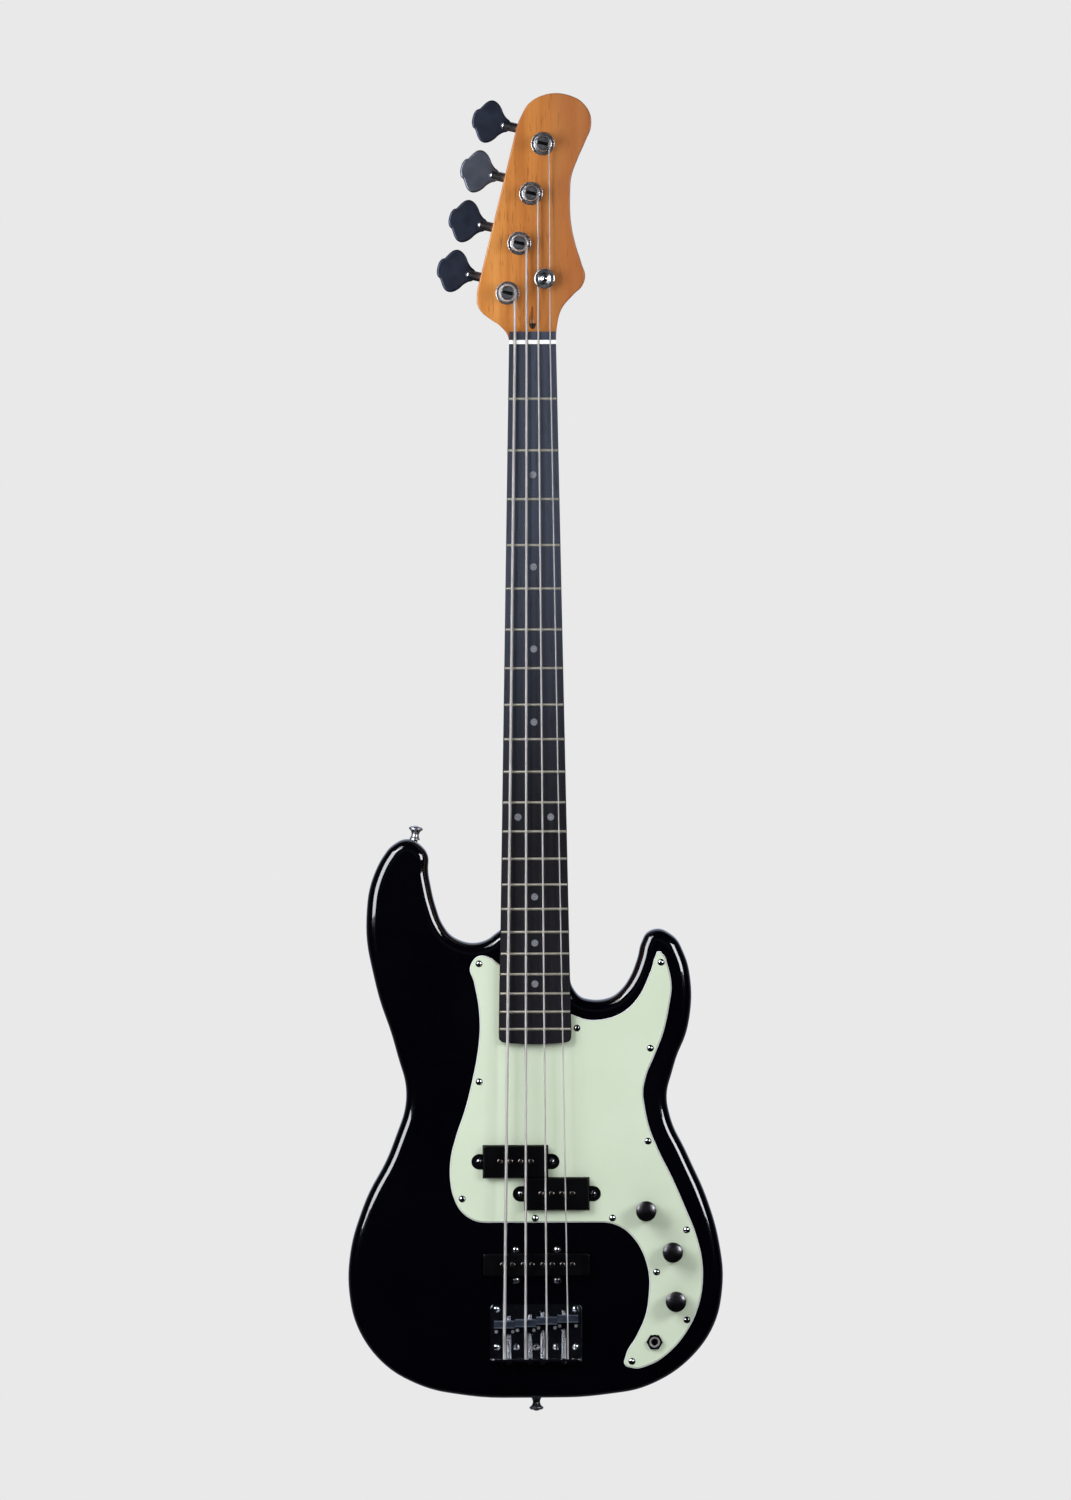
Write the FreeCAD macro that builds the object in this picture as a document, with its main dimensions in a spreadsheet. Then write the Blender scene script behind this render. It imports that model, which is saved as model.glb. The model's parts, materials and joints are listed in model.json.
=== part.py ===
import FreeCAD, Part
import math
import os

from FreeCAD import Placement, Rotation, Vector

# Four-string electric bass guitar, standing upright with its face towards -Y.
# X runs across to the treble side, Z runs up the neck, and the origin is the middle of the nut's
# lower edge, level with the front face of the body. A height is a distance in front of that face.

SIZES = (
    # strings
    ("scale_length", 863.6),
    ("nut_string_spread", 31.4),
    ("bridge_string_spread", 56.1),
    ("gauge_e", 2.67),
    ("gauge_a", 2.16),
    ("gauge_d", 1.65),
    ("gauge_g", 1.14),
    ("nut_action", 1.5),
    ("bridge_action", 5.3),
    ("compensation_e", 7.4),
    ("compensation_a", 6.1),
    ("compensation_d", 4.0),
    ("compensation_g", 2.4),
    ("string_bend_radius", 9.0),
    ("string_wrap_gap", 0.55),
    ("string_clearance", 0.1),
    ("ball_diameter", 5.0),
    ("string_ball_height", 3.4),
    ("string_hole_slack", 1.8),
    ("string_break", 6.0),
    ("nut_lead", 1.5),
    ("string_lead", 6.0),
    # fits shared by many pieces
    ("cut_overrun", 2.0),
    ("hole_clearance", 0.15),
    ("seat_clearance", 0.3),
    ("running_clearance", 0.08),
    # body
    ("body_length", 495.8),
    ("body_width", 332.4),
    ("body_thickness", 44.5),
    ("body_top", 438.1),
    ("body_edge_radius", 10.5),
    ("belly_scoop_depth", 10.0),
    ("belly_scoop_reach", 62.0),
    ("belly_scoop_length", 300.0),
    ("belly_scoop_lean_degrees", 6.0),
    # neck and headstock
    ("nut_width", 41.8),
    ("board_end_width", 64.2),
    ("board_end", 620.3),
    ("board_past_nut", 11.0),
    ("board_thickness", 6.0),
    ("board_top", 9.4),
    ("board_radius", 241.3),
    ("board_corner_radius", 5.0),
    ("board_end_bulge", 1.6),
    ("neck_depth_at_nut", 15.0),
    ("neck_depth_at_heel", 17.5),
    ("heel_depth", 19.4),
    ("heel_start", 488.0),
    ("heel_sweep_radius", 24.0),
    ("heel_end", 612.0),
    ("heel_corner_radius", 6.0),
    ("heel_lip", 3.0),
    ("pocket_gap", 0.3),
    ("headstock_length", 222.6),
    ("headstock_width", 101.9),
    ("headstock_thickness", 14.5),
    ("headstock_drop", 10.4),
    ("headstock_edge_radius", 1.4),
    ("ramp_length", 13.0),
    ("scoop_radius", 42.0),
    ("scoop_top", 25.0),
    ("scoop_foot", 5.0),
    # truss rod
    ("rod_diameter", 5.4),
    ("rod_depth", 10.9),
    ("rod_thread_diameter", 3.4),
    ("rod_thread_length", 6.0),
    ("rod_end", 585.0),
    ("rod_nut_diameter", 6.0),
    ("rod_nut_start", 8.4),
    ("rod_nut_length", 10.0),
    ("rod_key_diameter", 4.0),
    ("rod_access_length", 11.0),
    ("rod_access_taper", 12.0),
    # frets, dots and nut
    ("fret_width", 2.4),
    ("fret_height", 1.1),
    ("tang_width", 0.6),
    ("tang_depth", 1.6),
    ("dot_diameter", 6.2),
    ("dot_depth", 2.0),
    ("dot_pair_spacing", 29.0),
    ("side_dot_diameter", 2.2),
    ("nut_thickness", 3.6),
    ("nut_height", 5.4),
    ("nut_seat_depth", 3.0),
    # string retainer
    ("retainer_x", 10.84),
    ("retainer_z", 58.0),
    ("retainer_diameter", 18.6),
    ("retainer_hub_diameter", 7.0),
    ("retainer_hub_height", 5.6),
    ("retainer_height", 9.0),
    ("retainer_dish_diameter", 11.0),
    ("retainer_dish_depth", 1.4),
    ("retainer_edge_radius", 1.2),
    ("retainer_screw_length", 18.0),
    # tuners
    ("tuner_spacing", 45.36),
    ("tuner_first_x", -21.98),
    ("tuner_first_z", 45.4),
    ("tuner_tilt_degrees", 13.43),
    ("tuner_plate_width", 30.0),
    ("tuner_plate_length", 38.0),
    ("tuner_plate_thickness", 1.5),
    ("tuner_plate_shift", 2.0),
    ("tuner_plate_corner", 4.0),
    ("tuner_ear_thickness", 2.0),
    ("tuner_ear_width", 9.0),
    ("tuner_ear_gap", 16.0),
    ("post_diameter", 8.4),
    ("post_waist_diameter", 10.4),
    ("post_flange_diameter", 13.2),
    ("post_flange_height", 2.5),
    ("post_top_height", 16.0),
    ("post_collar_height", 2.3),
    ("post_slot_width", 3.0),
    ("post_slot_depth", 5.0),
    ("ferrule_diameter", 20.9),
    ("ferrule_barrel_diameter", 15.0),
    ("ferrule_barrel_length", 9.0),
    ("ferrule_height", 2.5),
    ("ferrule_flange_height", 1.1),
    ("ferrule_collar_diameter", 15.6),
    ("ferrule_edge_radius", 0.5),
    ("gear_module", 0.6),
    ("gear_face", 4.0),
    ("gear_lift", 1.6),
    ("gear_addendum", 0.45),
    ("gear_mesh_gap", 0.3),
    ("gear_backlash", 0.36),
    ("gear_screw_diameter", 5.6),
    ("gear_screw_height", 1.8),
    ("worm_pitch_diameter", 5.2),
    ("worm_length", 11.0),
    ("key_shaft_diameter", 4.0),
    ("key_stem_diameter", 8.6),
    ("key_stem_neck", 8.0),
    ("key_nose", 3.0),
    ("key_stem_start", 17.5),
    ("key_stem_end", 41.0),
    ("key_start", 33.0),
    ("key_width", 33.0),
    ("key_height", 38.4),
    ("key_thickness", 5.0),
    ("key_edge_radius", 1.7),
    # screws
    ("small_screw_head_diameter", 6.2),
    ("small_screw_head_height", 1.6),
    ("small_screw_diameter", 2.6),
    ("small_screw_length", 14.0),
    ("tuner_screw_head_diameter", 5.2),
    ("tuner_screw_head_height", 1.6),
    ("tuner_screw_diameter", 2.4),
    ("tuner_screw_length", 10.5),
    ("tuner_screw_inset", 3.2),
    ("bridge_screw_length", 24.0),
    ("neck_screw_head_diameter", 8.6),
    ("neck_screw_head_height", 1.2),
    ("neck_screw_diameter", 4.4),
    ("neck_screw_length", 42.0),
    ("strap_screw_head_diameter", 6.6),
    ("strap_screw_head_height", 1.2),
    ("strap_screw_diameter", 3.6),
    ("strap_screw_length", 26.0),
    # pickguard
    ("guard_width", 223.8),
    ("guard_length", 369.4),
    ("guard_left", 75.9),
    ("guard_top", 538.2),
    ("guard_thickness", 2.4),
    ("guard_bevel", 1.2),
    ("guard_bass_meeting", 550.0),
    ("guard_treble_meeting", 593.9),
    # bridge
    ("bridge_width", 81.0),
    ("bridge_length", 50.2),
    ("bridge_thickness", 2.0),
    ("bridge_wall_height", 11.5),
    ("bridge_corner_radius", 4.0),
    ("bridge_rear", 37.7),
    ("bridge_screw_inset", 3.9),
    ("bridge_screw_row", 12.8),
    ("bridge_screw_spacing", 17.5),
    ("saddle_width", 18.3),
    ("saddle_front", 5.6),
    ("saddle_rear", 6.2),
    ("saddle_lift", 2.4),
    ("saddle_front_drop", 4.4),
    ("saddle_shelf_drop", 3.4),
    ("saddle_crest", 1.2),
    ("height_screw_diameter", 3.0),
    ("height_screw_spacing", 14.6),
    ("height_screw_rise", 1.4),
    ("screw_foot_gap", 0.05),
    ("saddle_groove_depth", 0.5),
    ("length_screw_offset", 3.8),
    ("length_screw_diameter", 2.8),
    ("length_screw_height", 7.4),
    ("length_screw_reach", 4.4),
    ("length_screw_head_diameter", 5.0),
    ("length_screw_head_height", 2.4),
    ("spring_wire", 0.6),
    ("spring_diameter", 4.4),
    # pickups
    ("split_length", 57.0),
    ("split_width", 28.4),
    ("split_ear_offset", 32.1),
    ("split_ear_diameter", 12.6),
    ("bass_pickup_x", -17.8),
    ("bass_pickup_z", 724.3),
    ("treble_pickup_x", 18.7),
    ("treble_pickup_z", 752.9),
    ("bridge_pickup_length", 94.6),
    ("bridge_pickup_width", 20.0),
    ("bridge_pickup_x", 0.5),
    ("bridge_pickup_z", 815.8),
    ("bridge_pickup_ear_x", 36.6),
    ("bridge_pickup_ear_z", 26.6),
    ("bridge_pickup_ear_diameter", 8.8),
    ("pickup_top", 8.6),
    ("pickup_sink", 12.0),
    ("pickup_wall", 1.5),
    ("pickup_corner", 2.2),
    ("pickup_edge_radius", 1.4),
    ("pickup_ear_top", 3.2),
    ("pickup_ear_thickness", 2.4),
    ("pickup_gap", 0.6),
    ("rout_gap", 1.0),
    ("rout_depth", 20.0),
    ("pickup_travel", 2.0),
    ("pickup_screw_length", 27.0),
    ("pole_diameter", 4.8),
    ("pole_rise", 0.4),
    ("pole_length", 17.0),
    ("split_pole_spacing", 9.2),
    ("coil_height", 10.0),
    ("coil_margin", 3.0),
    ("foam_inset", 4.0),
    # controls
    ("volume_x", 97.85),
    ("volume_z", 768.5),
    ("blend_x", 121.3),
    ("blend_z", 805.2),
    ("tone_x", 124.0),
    ("tone_z", 848.8),
    ("jack_x", 104.9),
    ("jack_z", 884.6),
    ("knob_diameter", 18.0),
    ("knob_height", 17.0),
    ("knob_dome", 1.5),
    ("knob_edge_radius", 1.3),
    ("knob_lift", 0.6),
    ("knob_recess_diameter", 15.0),
    ("knob_recess_depth", 5.0),
    ("shaft_diameter", 6.0),
    ("pot_diameter", 24.0),
    ("pot_depth", 9.0),
    ("pot_bush_diameter", 9.0),
    ("pot_bush_height", 5.4),
    ("pot_nut_flats", 11.0),
    ("pot_nut_height", 2.0),
    ("pot_lug_width", 2.0),
    ("pot_lug_length", 6.0),
    ("pot_lug_thickness", 0.8),
    ("pot_lug_spacing", 5.0),
    ("capacitor_diameter", 7.0),
    ("capacitor_thickness", 3.4),
    ("wire_bend_radius", 5.0),
    ("jack_nut_flats", 12.7),
    ("pot_washer_thickness", 0.6),
    ("cavity_margin", 1.3),
    ("cavity_depth", 32.0),
    ("wire_channel_depth", 12.0),
    ("wire_channel_width", 12.0),
    ("wire_bore_diameter", 7.0),
    ("jack_bush_diameter", 9.4),
    ("jack_bore_diameter", 6.4),
    ("jack_bush_height", 4.6),
    ("jack_bush_depth", 8.0),
    ("jack_frame_diameter", 18.0),
    ("jack_frame_thickness", 1.6),
    ("jack_leaf_width", 5.0),
    ("jack_leaf_length", 20.0),
    ("jack_leaf_thickness", 0.8),
    ("wire_diameter", 1.6),
    # back and strap
    ("neck_plate_width", 51.0),
    ("neck_plate_length", 63.5),
    ("neck_plate_thickness", 2.0),
    ("neck_plate_corner", 6.0),
    ("neck_plate_z", 566.0),
    ("neck_screw_spacing_x", 38.1),
    ("neck_screw_spacing_z", 50.8),
    ("strap_button_height", 11.5),
    ("strap_button_base", 9.0),
    ("strap_button_waist", 6.6),
    ("strap_button_rim", 12.4),
    ("strap_button_foot", 2.4),
    ("strap_seat_depth", 0.7),
    ("strap_upper_x", 106.2),
    ("strap_upper_tilt_degrees", 7.0),
)

FRET_COUNT = 21
GEAR_TEETH = 20
WRAP_TURNS = 2.25
SPRING_TURNS = 6
SINGLE_DOT_FRETS = (3, 5, 7, 9, 15, 17, 19)
PAIR_DOT_FRET = 12
STRING_NAMES = ("e", "a", "d", "g")
RETAINED_STRINGS = ("d", "g")
PICKUP_KINDS = ("bass", "treble", "bridge")
FRET_END_DEGREES = -8
STRAIGHT_ANGLE = 1e-6
VOLUME_TOLERANCE = 0.01
GAP_SAMPLES = 6
FLANK_DEGREES = 20
WORM_TURNS = 4
BACKWARDS_DEGREES = 180
SPLIT_POLE_STEPS = (-1.5, -0.5, 0.5, 1.5)
CAPACITOR_LEG_SHARES = (0.12, -0.12)

# Outlines as hand-chosen shares of the piece's own width and length.
BODY_OUTLINE_SHARES = (
    (-0.674, 0.000), (-0.765, 0.013), (-0.808, 0.031), (-0.861, 0.067), (-0.899, 0.156),
    (-0.847, 0.264), (-0.747, 0.371), (-0.689, 0.460), (-0.765, 0.549), (-0.921, 0.657),
    (-0.985, 0.728), (-1.000, 0.798), (-0.955, 0.871), (-0.801, 0.942), (-0.604, 0.979),
    (-0.360, 0.996), (0.000, 1.000), (0.330, 0.996), (0.594, 0.979), (0.783, 0.942),
    (0.948, 0.871), (0.997, 0.793), (0.971, 0.710), (0.908, 0.639), (0.813, 0.567),
    (0.718, 0.496), (0.702, 0.468), (0.740, 0.406), (0.816, 0.335), (0.833, 0.264),
    (0.801, 0.210), (0.737, 0.174), (0.645, 0.162), (0.597, 0.169), (0.570, 0.185),
    (0.545, 0.216), (0.508, 0.247), (0.468, 0.267), (0.415, 0.282), (0.355, 0.288),
    (0.300, 0.288), (0.246, 0.283), (0.204, 0.267), (0.181, 0.231), (0.176, 0.180),
    (0.120, 0.147), (0.000, 0.141), (-0.120, 0.147), (-0.200, 0.167), (-0.260, 0.181),
    (-0.326, 0.186), (-0.400, 0.181), (-0.450, 0.171), (-0.492, 0.152), (-0.530, 0.118),
    (-0.562, 0.070), (-0.588, 0.017),
)
HEADSTOCK_CURVE_SHARES = (
    (0.206, 0.040), (0.214, 0.072), (0.249, 0.136), (0.362, 0.200), (0.432, 0.231), (0.459, 0.264),
    (0.425, 0.327), (0.381, 0.391), (0.339, 0.485), (0.331, 0.580), (0.348, 0.676), (0.401, 0.741),
    (0.463, 0.805), (0.516, 0.868), (0.514, 0.907), (0.439, 0.964), (0.315, 0.993), (0.211, 1.000),
    (0.108, 0.993), (-0.014, 0.964), (-0.101, 0.901), (-0.164, 0.805),
)
HEADSTOCK_CORNER_SHARES = (
    (-0.472, 0.231), (-0.484, 0.195), (-0.477, 0.155), (-0.440, 0.128), (-0.377, 0.104),
    (-0.274, 0.070), (-0.217, 0.036),
)
GUARD_BASS_SHARES = (
    (0.160, 0.014), (0.118, 0.010), (0.085, 0.032), (0.100, 0.078), (0.116, 0.132), (0.120, 0.190),
    (0.110, 0.248), (0.088, 0.314), (0.060, 0.380), (0.025, 0.442), (0.004, 0.493), (0.000, 0.541),
    (0.013, 0.587), (0.047, 0.625), (0.096, 0.645), (0.152, 0.650),
)
GUARD_TREBLE_SHARES = (
    (0.598, 0.650), (0.645, 0.654), (0.690, 0.667), (0.733, 0.693), (0.771, 0.736), (0.787, 0.779),
    (0.786, 0.823), (0.770, 0.878), (0.738, 0.921), (0.694, 0.969), (0.689, 0.991), (0.722, 1.000),
    (0.794, 0.991), (0.875, 0.957), (0.946, 0.902), (0.987, 0.841), (1.000, 0.786), (0.996, 0.737),
    (0.974, 0.681), (0.927, 0.609), (0.878, 0.541), (0.828, 0.480), (0.788, 0.418), (0.773, 0.376),
    (0.766, 0.338), (0.778, 0.299), (0.810, 0.252), (0.842, 0.204), (0.870, 0.132), (0.880, 0.085),
    (0.866, 0.036), (0.848, 0.008), (0.830, 0.000), (0.815, 0.014), (0.802, 0.040), (0.783, 0.070),
    (0.755, 0.104), (0.715, 0.133), (0.665, 0.153), (0.610, 0.163), (0.548, 0.164),
)
GUARD_SCREW_SHARES = (
    (0.118, 0.029), (0.839, 0.027), (0.505, 0.184), (0.795, 0.233), (0.117, 0.312), (0.785, 0.456),
    (0.048, 0.593), (0.337, 0.640), (0.643, 0.640), (0.936, 0.669), (0.817, 0.770), (0.936, 0.885),
    (0.718, 0.984),
)
BRIDGE_POLE_SHARES = (-0.318, -0.223, -0.123, -0.042, 0.062, 0.148, 0.243, 0.338)
BELLY_SCOOP_SHARES = (-0.90, 0.41)
KEY_LOBE_SHARES = (
    (0.000, 0.125), (0.105, 0.175), (0.210, 0.260), (0.300, 0.370), (0.390, 0.445), (0.480, 0.488),
    (0.570, 0.500), (0.660, 0.473), (0.745, 0.402), (0.815, 0.308), (0.868, 0.242), (0.928, 0.210),
    (0.975, 0.142), (1.000, 0.000),
)

doc = FreeCAD.newDocument("electric_bass_guitar")
sheet = doc.addObject("Spreadsheet::Sheet", "sizes")
for row, (alias, value) in enumerate(SIZES, start=1):
    sheet.set("A%d" % row, alias)
    sheet.set("B%d" % row, str(value))
    sheet.setAlias("B%d" % row, alias)
doc.recompute()


class Sheet:
    """Reads a size by its alias."""

    def __getattr__(self, alias):
        return float(sheet.get(alias))


mm = Sheet()
FRONT = Vector(0, -1, 0)
BACK = Vector(0, 1, 0)
UP = Vector(0, 0, 1)
DOWN = Vector(0, 0, -1)
RIGHT = Vector(1, 0, 0)


def at(x, height, z):
    """A point x across, so high in front of the body's face, z up the neck."""
    return Vector(x, -height, z)


def flat(*pairs):
    """Sketch points from pairs."""
    return [Vector(across, along, 0) for across, along in pairs]


# Small helpers for document objects


def box(name, length, width, height, corner):
    item = doc.addObject("Part::Box", name)
    item.setExpression("Length", length)
    item.setExpression("Width", width)
    item.setExpression("Height", height)
    item.Placement = Placement(corner, Rotation())
    return item


def cylinder(name, diameter, length, base, direction):
    item = doc.addObject("Part::Cylinder", name)
    item.setExpression("Radius", "(%s) / 2" % diameter)
    item.setExpression("Height", length)
    item.Placement = Placement(base, Rotation(UP, direction))
    return item


def cone(name, diameter_start, diameter_end, length, base, direction):
    item = doc.addObject("Part::Cone", name)
    item.setExpression("Radius1", "(%s) / 2" % diameter_start)
    item.setExpression("Radius2", "(%s) / 2" % diameter_end)
    item.setExpression("Height", length)
    item.Placement = Placement(base, Rotation(UP, direction))
    return item


def fuse(name, items):
    joined = doc.addObject("Part::MultiFuse", name)
    joined.Shapes = items
    return joined


def cut(name, base, tools):
    item = doc.addObject("Part::Cut", name)
    item.Base = base
    item.Tool = tools[0] if len(tools) == 1 else fuse(name + "_cuts", tools)
    return item


def common(name, base, tool):
    item = doc.addObject("Part::Common", name)
    item.Base = base
    item.Tool = tool
    return item


def group(name, items):
    held = doc.addObject("Part::Compound", name)
    held.Links = items
    return held


def copy_of(master, placement):
    link = doc.addObject("App::Link", master.Name + "_copy")
    link.LinkedObject = master
    link.Placement = placement
    return link


def copies(name, master, placements):
    return group(name, [copy_of(master, placement) for placement in placements])


def fixed_shape(name, shape, placement=Placement()):
    item = doc.addObject("Part::Feature", name)
    item.Shape = shape
    item.Placement = placement
    return item


def new_body(name):
    return doc.addObject("PartDesign::Body", name)


def sketch(body, role, geometry, offset=0.0):
    """A sketch on one of the body's own planes, so far along the plane's normal."""
    plane = [item for item in body.Origin.OriginFeatures if item.Role == role][0]
    drawn = body.newObject("Sketcher::SketchObject", body.Name + "_sketch")
    drawn.AttachmentSupport = [(plane, "")]
    drawn.MapMode = "FlatFace"
    drawn.AttachmentOffset = Placement(Vector(0, 0, offset), Rotation())
    drawn.addGeometry(geometry, False)
    return drawn


def pad(body, profile, length, reverse=False, middle=False):
    feature = body.newObject("PartDesign::Pad", body.Name + "_pad")
    feature.Profile = profile
    feature.setExpression("Length", length)
    feature.Reversed = reverse
    feature.Midplane = middle
    return feature


def pocket(body, profile, depth, reverse=False, middle=False):
    feature = body.newObject("PartDesign::Pocket", body.Name + "_pocket")
    feature.Profile = profile
    feature.setExpression("Length", depth)
    feature.Reversed = reverse
    feature.Midplane = middle
    return feature


def turned(name, role, steps, axis="V_Axis"):
    """A body turned about one axis of one of its planes."""
    body = new_body(name)
    profile = sketch(body, role, outline(steps))
    spun = body.newObject("PartDesign::Revolution", name + "_turned")
    spun.Profile = profile
    spun.ReferenceAxis = (profile, [axis])
    return body


def end_of(step):
    return step[1] if isinstance(step[0], tuple) else step


def outline(steps):
    """Closed sketch geometry: each step is a point, or a pair of points for an arc through the first."""
    geometry = []
    here = Vector(*steps[0], 0)
    closing = [] if end_of(steps[-1]) == steps[0] else [steps[0]]
    for step in list(steps[1:]) + closing:
        there = Vector(*end_of(step), 0)
        if isinstance(step[0], tuple):
            geometry.append(Part.Arc(here, Vector(*step[0], 0), there))
        else:
            geometry.append(Part.LineSegment(here, there))
        here = there
    return geometry


def rounded_rectangle(left, right, low, high, radius):
    inset = radius * (1 - math.sqrt(0.5))
    return outline((
        (left + radius, low),
        (right - radius, low),
        ((right - inset, low + inset), (right, low + radius)),
        (right, high - radius),
        ((right - inset, high - inset), (right - radius, high)),
        (left + radius, high),
        ((left + inset, high - inset), (left, high - radius)),
        (left, low + radius),
        ((left + inset, low + inset), (left + radius, low)),
    ))


def circles(places, diameter):
    return [Part.Circle(Vector(x, z, 0), UP, diameter / 2) for x, z in places]


def tangent_arc_middle(start, way, finish):
    """The middle of the arc that leaves a point along a direction and ends at another point."""
    chord = finish - start
    lift = way - chord * (way.dot(chord) / chord.dot(chord))
    bulge = chord.Length / 2 * math.tan(way.getAngle(chord) / 2)
    return (start + finish) / 2 + lift.normalize() * bulge


def biarc(start, way, finish, end_way):
    """Two tangent arcs between two points with the given directions, or one straight line."""
    chord = finish - start
    if way.getAngle(chord) + end_way.getAngle(chord) < STRAIGHT_ANGLE:
        return [Part.LineSegment(start, finish)]
    pull = chord.dot(way + end_way)
    spread = 2 * (1 - way.dot(end_way))
    reach = chord.dot(chord) / (pull + math.sqrt(pull ** 2 + spread * chord.dot(chord)))
    meet = (start + way * reach + finish - end_way * reach) / 2
    return [
        Part.Arc(start, tangent_arc_middle(start, way, meet), meet),
        Part.Arc(meet, tangent_arc_middle(finish, end_way * -1, meet), finish),
    ]


def circle_way(before, place, after):
    """Direction, at a place, of the circle through it and its two neighbours."""
    first = place - before
    second = after - place
    return (first * (second.Length / first.Length) + second * (first.Length / second.Length)).normalize()


def circle_ways(points):
    return [circle_way(*three) for three in zip(points, points[1:], points[2:])]


def arcs_along(points, ways):
    """Tangent arcs from each point to the next, with the given direction at each."""
    geometry = []
    for here, there, way, end_way in zip(points, points[1:], ways, ways[1:]):
        geometry += biarc(here, way, there, end_way)
    return geometry


def closed_curve(points):
    ring = points[-1:] + points + points[:1]
    ways = circle_ways(ring)
    return arcs_along(ring[1:], ways + ways[:1])


def curve_through(points, start, finish):
    """A smooth curve that leaves and arrives along the two given directions."""
    ways = [Vector(start).normalize()] + circle_ways(points) + [Vector(finish).normalize()]
    return arcs_along(points, ways)


def slot(first, second, width):
    """A round-ended slot between two places."""
    along = (second - first).normalize()
    side = Vector(-along.y, along.x, 0) * (width / 2)
    cap = along * (width / 2)
    return [
        Part.LineSegment(first + side, second + side),
        Part.Arc(second + side, second + cap, second - side),
        Part.LineSegment(second - side, first - side),
        Part.Arc(first - side, first - cap, first + side),
    ]


def drill(body, places, diameter, depth, height=0.0, reverse=False):
    return pocket(body, sketch(body, "XZ_Plane", circles(places, diameter), height), depth, reverse)


def edges_where(feature, test):
    found = []
    for index, edge in enumerate(feature.Shape.Edges, start=1):
        if test(edge):
            found.append("Edge%d" % index)
    return found


def round_edges(body, feature, names, radius):
    rounded = body.newObject("PartDesign::Fillet", body.Name + "_round")
    rounded.Base = (feature, names)
    rounded.setExpression("Radius", radius)
    return rounded


# Lines that several pieces share


def half_width(z):
    """Half the neck's width at a place along it."""
    widening = (mm.board_end_width - mm.nut_width) / 2 / mm.board_end
    return mm.nut_width / 2 - widening * z


def fret_z(number):
    return -mm.scale_length * (1 - 2 ** (-number / 12))


def board_drop(x):
    """How far the radiused board falls away beside its middle line."""
    return mm.board_radius - math.sqrt(mm.board_radius ** 2 - x ** 2)


def glue_height():
    return mm.board_top - mm.board_thickness


def face_height():
    """Height of the headstock's front face."""
    return mm.board_top - mm.headstock_drop


def headstock_back():
    return face_height() - mm.headstock_thickness


def body_place(across, along):
    return (across * mm.body_width / 2, -mm.body_top - along * mm.body_length)


def guard_place(across, along):
    return (across * mm.guard_width - mm.guard_left, -mm.guard_top - along * mm.guard_length)


def bridge_front():
    return -mm.scale_length - mm.bridge_rear + mm.bridge_length


def bridge_back():
    return -mm.scale_length - mm.bridge_rear


def tuner_placement(index):
    """Post axis of a tuner: local X lies along the key's shaft, local Z up the row of posts."""
    turn = Rotation(BACK, mm.tuner_tilt_degrees)
    first = Vector(mm.tuner_first_x, 0, mm.tuner_first_z)
    return Placement(first + turn.multVec(UP) * (index * mm.tuner_spacing), turn)


def bridge_screw_places():
    front = bridge_front() - mm.bridge_screw_inset
    rear = bridge_back() + mm.bridge_screw_row
    spacing = mm.bridge_screw_spacing
    outer = 2 * spacing
    return [(-outer, front), (outer, front)] + [(step * spacing, rear) for step in (-2, -1, 0, 1, 2)]


def neck_screw_places():
    across = mm.neck_screw_spacing_x / 2
    along = mm.neck_screw_spacing_z / 2
    return [(x, -mm.neck_plate_z + z) for x in (-across, across) for z in (-along, along)]


def tuner_screw_places():
    """Screw places of one tuner plate, in the tuner's own frame."""
    across = mm.tuner_plate_width / 2 - mm.tuner_screw_inset
    along = mm.tuner_plate_length / 2 - mm.tuner_screw_inset
    return [(x, mm.tuner_plate_shift + z) for x in (-across, across) for z in (-along, along)]


class StringLine:
    """The places that one string passes."""

    def __init__(self, index):
        self.name = STRING_NAMES[index]
        self.gauge = float(sheet.get("gauge_" + self.name))
        share = index / (len(STRING_NAMES) - 1) - 0.5
        self.nut_x = mm.nut_string_spread * share
        self.bridge_x = mm.bridge_string_spread * share
        self.nut_height = mm.board_top - board_drop(self.nut_x) + mm.nut_action + self.gauge / 2
        rise = mm.board_top - board_drop(self.bridge_x) + mm.bridge_action
        self.saddle_height = rise + self.gauge / 2
        self.saddle_z = -mm.scale_length - float(sheet.get("compensation_" + self.name))
        self.screw_x = self.bridge_x + mm.length_screw_offset * (1 if share < 0 else -1)
        self.nut = at(self.nut_x, self.nut_height, 0)
        self.crest = at(self.bridge_x, self.saddle_height, self.saddle_z)
        self.along = (self.nut - self.crest).normalize()

    def past_nut(self):
        return self.nut + self.along * (mm.nut_thickness + mm.nut_lead)

    def break_point(self):
        return self.crest - self.along * mm.string_break

    def ball_end(self):
        behind = bridge_back() - mm.ball_diameter / 2 - mm.string_clearance
        return at(self.bridge_x, mm.string_ball_height, behind)


STRINGS = [StringLine(index) for index in range(len(STRING_NAMES))]


# Places that the body, the guard and the pickups share


def worth(expression):
    """The number behind one alias, written as the sheet writes it."""
    return float(sheet.get(expression.split(".")[1]))


def pickup_size(kind):
    if kind == "bridge":
        return "sizes.bridge_pickup_length", "sizes.bridge_pickup_width"
    return "sizes.split_length", "sizes.split_width"


def pickup_place(kind):
    return float(sheet.get(kind + "_pickup_x")), -float(sheet.get(kind + "_pickup_z"))


def pickup_ears(kind):
    """Ear places about the pickup's middle."""
    if kind == "bridge":
        across = mm.bridge_pickup_ear_x / 2
        along = mm.bridge_pickup_ear_z / 2
        return [(x, z) for x in (-across, across) for z in (-along, along)]
    return [(-mm.split_ear_offset, 0), (mm.split_ear_offset, 0)]


def ear_size(kind):
    return "sizes.bridge_pickup_ear_diameter" if kind == "bridge" else "sizes.split_ear_diameter"


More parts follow.
